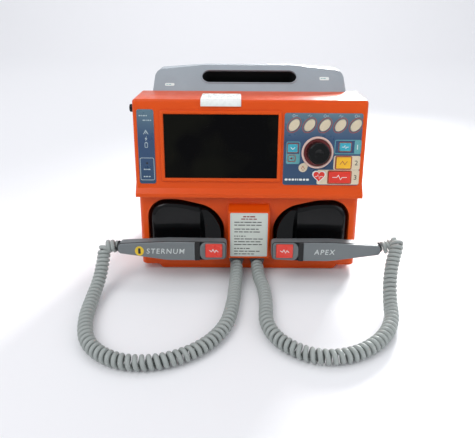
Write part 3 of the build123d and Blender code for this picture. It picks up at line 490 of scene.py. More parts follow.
@dataclass(frozen=True)
class FrostedLens(Finish):
    """Milky clear plastic over lamps, with fine prisms moulded inside, and painted shade that darkens it
    towards its foot.
    """

    low: float
    high: float

    def wire(self, w: Wiring, shader: bpy.types.Node) -> None:
        """Joins the milky body, the painted shade towards the foot, the prisms and the rubbed edge."""
        where = w.add("ShaderNodeTexCoord").outputs["Object"]
        prisms = w.add(
            "ShaderNodeTexWave", {"Vector": where, "Scale": 120.0, "Distortion": 0.4}, bands_direction="X"
        )
        edge = EFFECTS.use(w, SharedEffect.EDGE, Radius=1.5 * MM, Amount=0.35)
        height = w.add("ShaderNodeSeparateXYZ", {0: where}).outputs["Z"]
        # painted shade: the milk darkens from high down to low, standing in for the light that falls on the
        # lens's top
        shade = w.math("ADD", w.remap(height, self.low, self.high, 0.6, 0.0),
                       w.remap(prisms.outputs["Fac"], 0.0, 1.0, 0.0, 0.05))
        milk = w.mix(shade, Tone.LENS.linear, Tone.LENS_PAINTED_SHADE.linear)
        self.join(w, shader, {
            "Base Color": w.mix(edge.outputs["Mask"], milk, (1.0, 1.0, 1.0, 1.0)),
            "Roughness": w.remap(w.noise(300.0, 4.0), 0.3, 0.7, 0.22, 0.34),
            "Normal": w.bump(w.noise(1500.0, 3.0), 0.002),
        })


@dataclass(frozen=True)
class CircuitBoard(Finish):
    """Solder-masked board with copper tracks under the mask."""

    tone: Tone = Tone.BOARD

    def wire(self, w: Wiring, shader: bpy.types.Node) -> None:
        """Joins the mask, the tracks and their relief."""
        where = w.add("ShaderNodeTexCoord").outputs["Object"]
        tracks = w.add("ShaderNodeTexBrick", {"Vector": where, "Scale": 190.0, "Mortar Size": 0.03})
        line = w.remap(tracks.outputs["Fac"], 0.0, 1.0, 0.0, 0.5)
        grain = EFFECTS.use(w, SharedEffect.GRAIN, Colour=self.tone.linear, Scale=1200.0, Mottle=0.3)
        self.join(w, shader, {
            "Base Color": w.mix(line, grain.outputs["Colour"], Tone.BROWN.linear),
            "Roughness": w.remap(w.noise(200.0), 0.3, 0.7, 0.3, 0.5),
            "Normal": w.bump(line, 0.03),
        })


ORANGE = Moulding(
    "orange_moulding", Tone.ORANGE, Tone.ORANGE_WORN, roughness=0.36, mottle=0.06, wear=0.45,
    dust=0.0, coat=0.1, specular=0.22,
)
GREY = Moulding("grey_moulding", Tone.GREY, Tone.GREY_WORN, roughness=0.48, relief=0.06, grain=1100.0)
GRIP_SHELL = Moulding("grip_shell", Tone.GRIP, Tone.GRIP_WORN, roughness=0.5, relief=0.06, mottle=0.14)
GRIP_FACE = Moulding("grip_face", Tone.FACE, Tone.GREY, roughness=0.44, relief=0.05, wear=0.7)
GLOSS_BLACK = Moulding(
    "gloss_black", Tone.GLOSS_BLACK, Tone.BLACK_WORN, roughness=0.11, spread=0.03, relief=0.003, wear=0.15,
    dust=0.0, specular=0.24,
)
BLACK_RUBBER = Moulding("black_rubber", Tone.RUBBER, Tone.BLACK_WORN, roughness=0.62, wear=0.35)
BLACK_LINER = Moulding("black_liner", Tone.RUBBER, Tone.BLACK_WORN, roughness=0.6, relief=0.08, dust=0.05)
BUTTON_RED = Moulding("button_red", Tone.RED, Tone.ORANGE_WORN, roughness=0.3, relief=0.01, coat=0.3)
CORD_JACKET = Moulding(
    "cord_jacket", Tone.CORD, Tone.CORD_WORN, roughness=0.46, relief=0.02, wear=0.0, dust=0.05, mottle=0.14
)
BUSH_RUBBER = Moulding("bush_rubber", Tone.GRIP, Tone.GRIP_WORN, roughness=0.6)
CREAM_KEY = Moulding(
    "cream_key", Tone.CREAM, Tone.INK_WHITE, roughness=0.4, relief=0.015, mottle=0.2, dust=0.0
)
CYAN_KEY = Moulding("cyan_key", Tone.CYAN, Tone.INK_WHITE, roughness=0.35, relief=0.015, wear=0.7, dust=0.0)
AMBER_KEY = Moulding("amber_key", Tone.AMBER, Tone.CREAM, roughness=0.35, relief=0.015, wear=0.6, dust=0.0)
RED_KEY = Moulding("red_key", Tone.RED, Tone.ORANGE_WORN, roughness=0.35, relief=0.015, wear=0.6, dust=0.0)
RING_PLASTIC = Moulding("ring_plastic", Tone.RING, Tone.INK_WHITE, roughness=0.38, relief=0.01)
BATTERY_WRAP = Moulding("battery_wrap", Tone.WRAP, Tone.INK_PALE, roughness=0.3, relief=0.01)
SPEAKER_BASKET = Moulding("speaker_basket", Tone.BASKET, Tone.STEEL, roughness=0.4)
SCREEN = DarkScreen("dark_screen")
BOARD = CircuitBoard("circuit_board")
STEEL = Metal("drawn_steel", Tone.STEEL)
# The frame brings materials named plated_contact and plate_film, so CHROME and PLATE never
# show. Names that the frame does not use would bring them in.
CHROME = Metal("plated_contact", Tone.CHROME, roughness=0.16)
CAN = Metal("drawn_can", Tone.STEEL, roughness=0.34, lines=(2400.0, 40.0, 40.0))
PLATE = Moulding(
    "plate_film", Tone.PLATE, Tone.INK_WHITE, roughness=0.4, relief=0.006, grain=2400.0, wear=0.4, dust=0.0,
    specular=0.2,
)
TEAL_KEY = Moulding("teal_key", Tone.TEAL, Tone.INK_WHITE, roughness=0.35, relief=0.015, wear=0.6, dust=0.0)
INK_WHITE = Ink("ink_white", Tone.INK_WHITE)
INK_PALE = Ink("ink_pale", Tone.INK_PALE)
INK_BLACK = Ink("ink_black", Tone.INK_BLACK)
INK_YELLOW = Ink("ink_yellow", Tone.INK_YELLOW, cover=0.05)
INK_TEAL = Ink("ink_teal", Tone.TEAL)
INK_CREAM = Ink("ink_cream", Tone.CREAM)
INK_BROWN = Ink("ink_brown", Tone.BROWN)
INK_DEEP_RED = Ink("ink_deep_red", Tone.DEEP_RED)
INK_LETTER = Ink("ink_letter", Tone.LETTER)
INK_PRINT = Ink("ink_print", Tone.PLATE_PRINT)
INK_PLATE_RED = Ink("ink_plate_red", Tone.PLATE_RED)
INK_HEART = Ink("ink_heart", Tone.RED, cover=0.05)


# ---------------------------------------------------------------------- planes and meshes
@dataclass(frozen=True)
class FlatPlane:
    """A flat working plane with millimetre places across, up and out of it."""

    origin: Vector
    out: Vector

    @property
    def up(self) -> Vector:
        """The way up the plane."""
        return (Vector((0, 0, 1)) - self.out * self.out.z).normalized()

    @property
    def across(self) -> Vector:
        """The way across, to the right of a person who faces the plane."""
        return self.up.cross(self.out)

    @classmethod
    def facing(cls, node: str, way: Vector) -> "FlatPlane":
        """The largest flat face of a frame node that looks one way.

        Args:
            node: the node's name.
            way: roughly where the face looks.

        Returns:
            The plane of that face, with its origin at x = 0.
        """
        areas: dict[tuple, float] = {}
        middles: dict[tuple, Vector] = {}
        for polygon in frame["nodes"][node].data.polygons:
            if polygon.normal.dot(way) > FACING:
                key = tuple(round(part, 2) for part in polygon.normal)
                areas[key] = areas.get(key, 0.0) + polygon.area
                middles.setdefault(key, polygon.center.copy())
        best = max(areas, key=lambda key: areas[key])
        normal, middle = Vector(best).normalized(), middles[best]
        return cls(Vector((0.0, middle.y, middle.z)) if abs(normal.x) < 0.5 else middle, normal)

    def at(self, x: float, up: float, out: float = 0.0) -> Vector:
        """The point at a place in millimetres."""
        return self.origin + (self.across * x + self.up * up + self.out * out) * MM

    def span(self, node: str) -> tuple[np.ndarray, np.ndarray]:
        """Lowest and highest place of a frame node across, up and out, in millimetres."""
        mesh = frame["nodes"][node].data
        points = np.array([v.co for v in mesh.vertices]) - np.array(self.origin)
        places = points @ np.array([self.across, self.up, self.out]).T / MM
        return places.min(0), places.max(0)

    def matrix(self, x: float, up: float, out: float) -> Matrix:
        """The transform that lays a flat thing on the plane."""
        turn = Matrix((self.across, self.up, self.out)).transposed().to_4x4()
        return Matrix.Translation(self.at(x, up, out)) @ turn


def make_piece(
    name: str, points: list, faces: list, finish: Finish, body: str, smooth: bool = False
) -> bpy.types.Object:
    """Makes one visible piece and sets it on its body.

    Args:
        name: the piece's name.
        points: its points in metres.
        faces: its faces as point numbers.
        finish: what it is made of.
        body: the body that it rides on.
        smooth: whether its faces are shaded as one surface.

    Returns:
        The new object.
    """
    mesh = bpy.data.meshes.new(name)
    mesh.from_pydata([tuple(p) for p in points], [], faces)
    mesh.materials.append(finish.material())
    if smooth:
        mesh.shade_smooth()
    made = bpy.data.objects.new(name, mesh)
    bpy.context.scene.collection.objects.link(made)
    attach(made, body)
    return made


def dress(finish: Finish, *nodes: str) -> None:
    """Gives frame nodes their finish.

    Args:
        finish: the finish.
        nodes: names of the nodes.
    """
    for name in nodes:
        materials = frame["nodes"][name].data.materials
        materials.clear()
        materials.append(finish.material())
        log.info("%s wears %s", name, finish.name)


def rounded(x: float, up: float, width: float, height: float, corner: float, steps: int = 6) -> Loop:
    """A rectangle with round corners.

    Args:
        x: middle across.
        up: middle up.
        width: full width.
        height: full height.
        corner: corner radius.
        steps: points round each corner.

    Returns:
        The loop, anticlockwise.
    """
    loop = []
    for quarter, (sx, sy) in enumerate(((1, 1), (-1, 1), (-1, -1), (1, -1))):
        centre = (x + sx * (width / 2 - corner), up + sy * (height / 2 - corner))
        for step in range(steps + 1):
            angle = (quarter + step / steps) * pi / 2
            loop.append((centre[0] + corner * cos(angle), centre[1] + corner * sin(angle)))
    return loop


def oval(
    x: float, up: float, half_long: float, half_short: float, turn: float = 0.0, steps: int = 44
) -> Loop:
    """An ellipse.

    Args:
        x: middle across.
        up: middle up.
        half_long: half its length.
        half_short: half its width.
        turn: degrees from the way across.
        steps: points round it.

    Returns:
        The loop, anticlockwise.
    """
    c, s = cos(radians(turn)), sin(radians(turn))
    loop = []
    for step in range(steps):
        a, b = half_long * cos(tau * step / steps), half_short * sin(tau * step / steps)
        loop.append((x + a * c - b * s, up + a * s + b * c))
    return loop


def heart(x: float, up: float, size: float, steps: int = 48) -> Loop:
    """A heart of a given height with its middle at a place."""
    loop = []
    for step in range(steps):
        t = tau * step / steps
        across = 16 * sin(t) ** 3
        height = 13 * cos(t) - 5 * cos(2 * t) - 2 * cos(3 * t) - cos(4 * t)
        loop.append((x - across * size / 30, up + (height + 2.5) * size / 30))
    return loop


def bolt(x: float, up: float, size: float) -> Loop:
    """A zigzag flash of a given height."""
    corners = [(0.16, 0.5), (-0.26, -0.06), (-0.03, -0.06), (-0.16, -0.5), (0.26, 0.08), (0.03, 0.08)]
    return [(x + a * size, up + b * size) for a, b in corners]


class Inlay:
    """Thin flat shapes printed or laid on one plane, gathered into one piece."""

    def __init__(self, plane: FlatPlane, level: float, thickness: float = 0.05) -> None:
        """Starts an empty piece.

        Args:
            plane: where the shapes lie.
            level: height of the surface under them, out of the plane.
            thickness: how far they stand over it.
        """
        self.plane = plane
        self.levels = (level - 0.02, level + thickness)
        self.points: list[Vector] = []
        self.faces: list[list[int]] = []

    def fill(self, loop: Loop) -> "Inlay":
        """Adds a filled shape whose outline runs anticlockwise."""
        first, count = len(self.points), len(loop)
        for level in self.levels:
            self.points += [self.plane.at(x, up, level) for x, up in loop]
        self.faces.append([first + count + i for i in range(count)])
        self.faces.append([first + i for i in reversed(range(count))])
        for i in range(count):
            j = (i + 1) % count
            self.faces.append([first + i, first + j, first + count + j, first + count + i])
        return self

    def band(self, outer: Loop, inner: Loop, closed: bool = True) -> "Inlay":
        """Adds a band between two lines of as many points.

        Args:
            outer: the line on the right of the way that the band runs.
            inner: the line on the left.
            closed: whether the band joins its own start.

        Returns:
            This inlay.
        """
        first, count = len(self.points), len(outer)
        for loop in (outer, inner):
            for level in self.levels:
                self.points += [self.plane.at(x, up, level) for x, up in loop]
        low, high, inner_low, inner_high = (first + count * ring for ring in range(4))
        for i in range(count if closed else count - 1):
            j = (i + 1) % count
            self.faces.append([high + i, high + j, inner_high + j, inner_high + i])
            self.faces.append([low + j, low + i, inner_low + i, inner_low + j])
            self.faces.append([low + i, low + j, high + j, high + i])
            self.faces.append([inner_low + j, inner_low + i, inner_high + i, inner_high + j])
        if not closed:
            last = count - 1
            self.faces.append([low, high, inner_high, inner_low])
            self.faces.append([low + last, inner_low + last, inner_high + last, high + last])
        return self

    def line(self, points: Loop, width: float, closed: bool = False) -> "Inlay":
        """Adds a line of even width with mitred corners.

        Args:
            points: the places that it runs through.
            width: its width.
            closed: whether it joins its own start.

        Returns:
            This inlay.
        """
        count = len(points)
        right, left = [], []
        for i, (x, up) in enumerate(points):
            before = points[i - 1] if closed or i else points[i]
            after = points[(i + 1) % count] if closed or i < count - 1 else points[i]
            ways = []
            for start, end in ((before, (x, up)), ((x, up), after)):
                length = hypot(end[0] - start[0], end[1] - start[1])
                if length > 1e-6:
                    ways.append(((end[0] - start[0]) / length, (end[1] - start[1]) / length))
            mean = (sum(way[0] for way in ways) / len(ways), sum(way[1] for way in ways) / len(ways))
            reach = width / 2 / max(mean[0] ** 2 + mean[1] ** 2, 0.3)
            right.append((x + mean[1] * reach, up - mean[0] * reach))
            left.append((x - mean[1] * reach, up + mean[0] * reach))
        return self.band(right, left, closed)

    def outline(
        self, x: float, up: float, width: float, height: float, corner: float, line: float
    ) -> "Inlay":
        """Adds the outline of a rounded rectangle, drawn inwards from its edge."""
        outer = rounded(x, up, width, height, corner)
        inner = rounded(x, up, width - 2 * line, height - 2 * line, max(corner - line, 0.2))
        return self.band(outer, inner)

    def bars(self, x: float, up: float, widths: list[float], height: float, gap: float) -> "Inlay":
        """Adds a row of short bars that stands for a word or a line of small print.

        Args:
            x: where the row starts.
            up: its middle.
            widths: width of each bar.
            height: height of the bars.
            gap: space between them.

        Returns:
            This inlay.
        """
        for width in widths:
            self.fill(rounded(x + width / 2, up, width, height, min(width, height) * 0.35, 2))
            x += width + gap
        return self

    def piece(self, name: str, finish: Finish, body: str, slot: str) -> bpy.types.Object:
        """Makes the gathered shapes into one piece on a body."""
        log.info("%s: %d faces", name, len(self.faces))
        return make_piece(name, self.points, self.faces, finish, body)


def lettering(
    name: str, text: str, plane: FlatPlane, place: tuple[float, float, float], cap: float, slant: float,
    spacing: float, finish: Finish, body: str,
) -> bpy.types.Object:
    """Lays raised letters or a digit on a plane.

    Args:
        name: the piece's name.
        text: what it says.
        plane: where it lies.
        place: its middle across, its foot up, and the surface's height.
        cap: height of a capital in millimetres.
        slant: lean of the letters.
        spacing: spacing of the letters.
        finish: the ink.
        body: the body that it rides on.

    Returns:
        The piece.
    """
    curve = bpy.data.curves.new(name + "_outline", "FONT")
    curve.body = text
    curve.size = cap * MM / CAP_SHARE
    curve.shear = slant
    curve.space_character = spacing
    curve.align_x = "CENTER"
    curve.extrude = LETTER_RISE * MM
    curve.offset = LETTER_SWELL * cap * MM
    curve.resolution_u = 4
    holder = bpy.data.objects.new(name + "_outline", curve)
    mesh = bpy.data.meshes.new_from_object(holder)
    bpy.data.objects.remove(holder)
    bpy.data.curves.remove(curve)
    matrix = plane.matrix(*place)
    points = [matrix @ v.co for v in mesh.vertices]
    faces = [list(p.vertices) for p in mesh.polygons]
    bpy.data.meshes.remove(mesh)
    log.info("%s: letters laid", name)
    return make_piece(name, points, faces, finish, body)


def tube_mesh(path: np.ndarray, radius: float, sides: int, closed: bool = False) -> tuple[list, list]:
    """A round tube along a path, with its section carried along without twisting.

    Args:
        path: points in metres.
        radius: the tube's radius in metres.
        sides: points round it.
        closed: whether it joins its own start.

    Returns:
        Its points and faces.
    """
    count = len(path)
    ahead = np.roll(path, -1, 0) - np.roll(path, 1, 0)
    if not closed:
        ahead[0], ahead[-1] = path[1] - path[0], path[-1] - path[-2]
    ahead /= np.linalg.norm(ahead, axis=1)[:, None]
    side = carried_sides(ahead)
    other = np.cross(ahead, side)
    angles = np.arange(sides) * tau / sides
    rings = path[:, None] + radius * (
        np.cos(angles)[None, :, None] * side[:, None] + np.sin(angles)[None, :, None] * other[:, None]
    )
    faces = []
    for i in range(count if closed else count - 1):
        j = (i + 1) % count
        for a in range(sides):
            b = (a + 1) % sides
            faces.append([i * sides + a, i * sides + b, j * sides + b, j * sides + a])
    if not closed:
        faces.append([a for a in reversed(range(sides))])
        faces.append([(count - 1) * sides + a for a in range(sides)])
    return list(rings.reshape(-1, 3)), faces


def carried_sides(ahead: np.ndarray) -> np.ndarray:
    """Directions square to a path, each carried on from the one before.

    Args:
        ahead: the path's unit directions.

    Returns:
        One unit direction for each.
    """
    start = np.cross(ahead[0], (0.0, 0.0, 1.0))
    sides = [start / np.linalg.norm(start)]
    for way in ahead[1:]:
        side = sides[-1] - way * (sides[-1] @ way)
        sides.append(side / np.linalg.norm(side))
    return np.array(sides)


# ---------------------------------------------------------------------- sub-assemblies
@dataclass(frozen=True)
class SoftBox:
    """One square area light that faces a target."""

    name: str
    place: tuple[float, float, float]
    target: tuple[float, float, float]
    size: float
    power: float
    spread: float = 180.0

    def hang(self) -> None:
        """Adds the light, out of the camera's sight."""
        data = bpy.data.lights.new(self.name, "AREA")
        data.shape = "SQUARE"
        data.size = self.size
        data.energy = self.power
        data.spread = radians(self.spread)
        lamp = bpy.data.objects.new(self.name, data)
        lamp.location = self.place
        way = Vector(self.target) - Vector(self.place)
        lamp.rotation_euler = way.to_track_quat("-Z", "Y").to_euler()
        lamp.visible_camera = False
        bpy.context.scene.collection.objects.link(lamp)


@dataclass
class Studio:
    """Camera, floor and soft lights, in metres and degrees."""

    camera_place: tuple[float, float, float] = (-0.016, -0.64935, 0.353)
    camera_pitch: float = 25.5
    camera_roll: float = 0.4
    lens: float = 34.1
    floor_half: float = 6.0
    sweep_start: float = 2.6
    sweep_radius: float = 1.6
    wall_height: float = 6.0
    room_tint: tuple[float, float, float, float] = (0.93, 0.95, 1.0, 1.0)
    room_strength: float = 0.66
    boxes: tuple[SoftBox, ...] = (
        SoftBox("key_box", (-1.3, -1.2, 2.0), (0.0, 0.0, 0.12), 1.4, 22.0),
        SoftBox("fill_box", (1.7, -0.9, 1.3), (0.0, 0.0, 0.12), 1.3, 8.0),
        SoftBox("rim_box", (0.72, 1.6, 0.72), (0.12, 0.0, 0.24), 0.6, 6.0, spread=40.0),
        SoftBox("wall_box", (0.0, 1.6, 3.8), (0.0, 4.2, 1.5), 2.6, 58.0),
    )

    def build(self) -> None:
        """Sets up all of it."""
        self.camera()
        self.floor()
        self.lights()
        bpy.context.scene.view_settings.view_transform = "Standard"
        log.info("studio: camera, floor and lights")

    def camera(self) -> None:
        """Places the camera."""
        data = bpy.data.cameras.new("camera")
        data.lens = self.lens
        data.sensor_width = 36.0
        camera = bpy.data.objects.new("camera", data)
        camera.location = self.camera_place
        tilt = Matrix.Rotation(radians(90.0 - self.camera_pitch), 4, "X")
        roll = Matrix.Rotation(radians(self.camera_roll), 4, "Z")
        camera.rotation_euler = (tilt @ roll).to_euler()
        bpy.context.scene.collection.objects.link(camera)
        bpy.context.scene.camera = camera

    def floor(self) -> None:
        """Lays a pale floor that sweeps up into a wall behind the object."""
        profile = [(-self.floor_half, 0.0), (self.sweep_start, 0.0)]
        for step in range(1, 17):
            angle = step / 16 * pi / 2
            profile.append((
                self.sweep_start + self.sweep_radius * sin(angle),
                self.sweep_radius * (1 - cos(angle)),
            ))
        profile.append((profile[-1][0], self.wall_height))
        points = [(side * self.floor_half, y, z - 0.0002) for y, z in profile for side in (-1, 1)]
        faces = [[2 * i, 2 * i + 1, 2 * i + 3, 2 * i + 2] for i in range(len(profile) - 1)]
        mesh = bpy.data.meshes.new("floor")
        mesh.from_pydata(points, [], faces)
        mesh.shade_smooth()
        mesh.materials.append(Ink("floor_paper", Tone.FLOOR, roughness=0.8, cover=0.0).material())
        floor = bpy.data.objects.new("floor", mesh)
        bpy.context.scene.collection.objects.link(floor)

    def lights(self) -> None:
        """Hangs the soft boxes in a pale room."""
        world = bpy.data.worlds.new("room")
        world.use_nodes = True
        background = world.node_tree.nodes["Background"]
        background.inputs[0].default_value = self.room_tint
        background.inputs[1].default_value = self.room_strength
        bpy.context.scene.world = world
        for box in self.boxes:
            box.hang()


@dataclass
class CurlyCord:
    """One curly cord: round cable wound in a helix round a smooth route."""

    name: str
    route: list[tuple[float, float, float]]
    exit: Vector
    blend_start: tuple[float, float, float]
    blend_end: tuple[float, float, float]
    cable: float = 5.7
    curl: float = 18.0
    close_pitch: float = 6.0
    open_pitch: float = 7.5
    run_in: float = 5.0
    run_out: float = 2.4
    read_step: float = 0.3
    steps: int = 26
    sides: int = 10

    def smooth_route(self) -> np.ndarray:
        """Reads evenly spaced points off the route's smooth spline, in metres."""
        curve = bpy.data.curves.new(self.name + "_route", "CURVE")
        curve.dimensions = "3D"
        spline = curve.splines.new("NURBS")
        spline.points.add(len(self.route) - 1)
        for point, place in zip(spline.points, self.route):
            point.co = (*(part * MM for part in place), 1.0)
        spline.order_u = 3
        spline.use_endpoint_u = True
        spline.resolution_u = 24
        holder = bpy.data.objects.new(self.name + "_route", curve)
        mesh = bpy.data.meshes.new_from_object(holder)
        line = np.array([v.co for v in mesh.vertices])
        bpy.data.objects.remove(holder)
        bpy.data.curves.remove(curve)
        bpy.data.meshes.remove(mesh)
        along = np.concatenate([[0.0], np.cumsum(np.linalg.norm(np.diff(line, axis=0), axis=1))])
        places = np.linspace(0.0, along[-1], int(along[-1] / (self.read_step * MM)))
        return np.stack([np.interp(places, along, line[:, axis]) for axis in range(3)], 1)

    def helix(self) -> np.ndarray:
        """Winds the cable round the route: close at both ends, open where the loop is slack."""
        line = self.smooth_route()
        ahead = np.gradient(line, axis=0)
        steps = np.linalg.norm(ahead, axis=1)
        ahead /= steps[:, None]
        along = np.concatenate([[0.0], np.cumsum(np.linalg.norm(np.diff(line, axis=0), axis=1))])
        share = along / along[-1]
        pitch = MM * (self.close_pitch + (self.open_pitch - self.close_pitch) * np.sin(pi * share) ** 2)
        turned = np.concatenate([[0.0], np.cumsum(np.diff(along) / pitch[1:])]) * tau
        side = carried_sides(ahead)
        other = np.cross(ahead, side)
        from_end = np.minimum(along / self.run_in, (along[-1] - along) / self.run_out) / MM
        opening = np.clip(from_end, 0.0, 1.0)
        radius = MM * (self.curl - self.cable) / 2 * opening * opening * (3 - 2 * opening)
        angles = np.arange(0.0, turned[-1], tau / self.steps)
        spots = np.interp(angles, turned, along)

        def read(values: np.ndarray) -> np.ndarray:
            """Values at each of the helix's spots."""
            return np.stack([np.interp(spots, along, values[:, axis]) for axis in range(3)], 1)

        reach = np.interp(spots, along, radius)[:, None]
        swing = np.cos(angles)[:, None] * read(side) + np.sin(angles)[:, None] * read(other)
        return read(line) + reach * swing

    def build(self) -> bpy.types.Object:
        path = self.helix()
        points, faces = tube_mesh(path, self.cable / 2 * MM, self.sides)
        cord = make_piece(f"{self.name}_curl", points, faces, CORD_JACKET, "case", True)
        cord.parent = None
        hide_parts(f"{self.name}_cord")
        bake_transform(cord)
        return cord


@dataclass
class CordPair:
    """The two cords, with the routes that they take over the table."""

    front: FlatPlane
    rest: float = 9.1
    outlet_up: float = 13.5
    outlet_dip: float = 15.0
    bush_length: float = 14.0
    first_run: float = 24.0
    last_run: float = 9.0
    gland_gap: float = 0.3
    outlets: dict[str, float] = field(default_factory=lambda: {"sternum": -17.0, "apex": 12.5})

    def middles(self) -> dict[str, list[tuple[float, float, float]]]:
        """Points of each route between its outlet and its paddle, listed one by one."""
        low = self.rest
        return {
            "sternum": [
                (-18.5, -140.0, low), (-21.0, -182.0, low), (-29.0, -226.0, low), (-55.0, -263.0, low),
                (-98.0, -285.0, low), (-146.0, -284.0, low), (-184.0, -257.0, low), (-199.0, -214.0, low),
                (-202.0, -174.0, 10.5), (-200.0, -142.0, 19.0), (-199.0, -119.0, 36.0),
                (-198.0, -108.0, 52.0),
            ],
            "apex": [
                (20.0, -142.0, low), (21.5, -180.0, low), (18.0, -218.0, low), (34.0, -253.0, low),
                (72.0, -276.0, low), (114.0, -271.0, low), (150.0, -246.0, low), (172.0, -212.0, low),
                (178.0, -180.0, 12.0), (183.0, -154.0, 28.0), (191.0, -132.0, 45.0),
                (201.0, -114.0, 62.0), (199.0, -106.0, 60.0),
            ],
        }

    def build(self) -> None:
        """Makes both cords."""
        dip = radians(self.outlet_dip)
        way = Vector((0.0, -cos(dip), -sin(dip)))
        for name, middle in self.middles().items():
            side = -1 if name == "sternum" else 1
            mouth = self.front.at(self.outlets[name], self.outlet_up)
            start = mouth + way * self.bush_length * MM
            second = start + way * self.first_run * MM
            low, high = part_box(f"{name}_gland")
            outer = low.x if side < 0 else high.x
            entry = Vector((outer + side * self.gland_gap * MM, (low.y + high.y) / 2, (low.z + high.z) / 2))
            last = entry + Vector((side * self.last_run * MM, 0.0, 0.0))
            ends = [tuple(v / MM for v in point) for point in (start, second, last, entry)]
            CurlyCord(
                name, [ends[0], ends[1], *middle, ends[2], ends[3]], start,
                blend_start=(side * 0.150, -0.200, 0.009), blend_end=(side * 0.217, -0.160, 0.038),
            ).build()


@dataclass
class HeadLooks:
    """Finishes of the head: shell, lens, display, membranes and keys."""

    soft_keys: int = 5

    def build(self) -> None:
        """Dresses the head's pieces."""
        dress(ORANGE, "front_housing", "screen_bezel")
        low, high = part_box("alarm_lens")
        # the lens's painted shade runs from its foot up to 3 mm under its top
        dress(FrostedLens("frosted_lens", low.z, high.z - 3 * MM), "alarm_lens")
        dress(SCREEN, "display_window")
        dress(CREAM_KEY, *(f"soft_key_{number + 1}" for number in range(self.soft_keys)))
        dress(CYAN_KEY, "page_key", "view_key")
        dress(AMBER_KEY, "charge_key")
        dress(TEAL_KEY, "mute_key")
        dress(RED_KEY, "shock_key")
        dress(RING_PLASTIC, "selector_ring")
        dress(GLOSS_BLACK, "selector_knob", "ecg_socket")
        for node in ("left_membrane", "right_membrane"):
            low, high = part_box(node)
            tones = (Tone.FILM_TOP, Tone.FILM_MIDDLE, Tone.FILM_FOOT)
            dress(Film(f"{node}_film", tones, low.z, high.z), node)


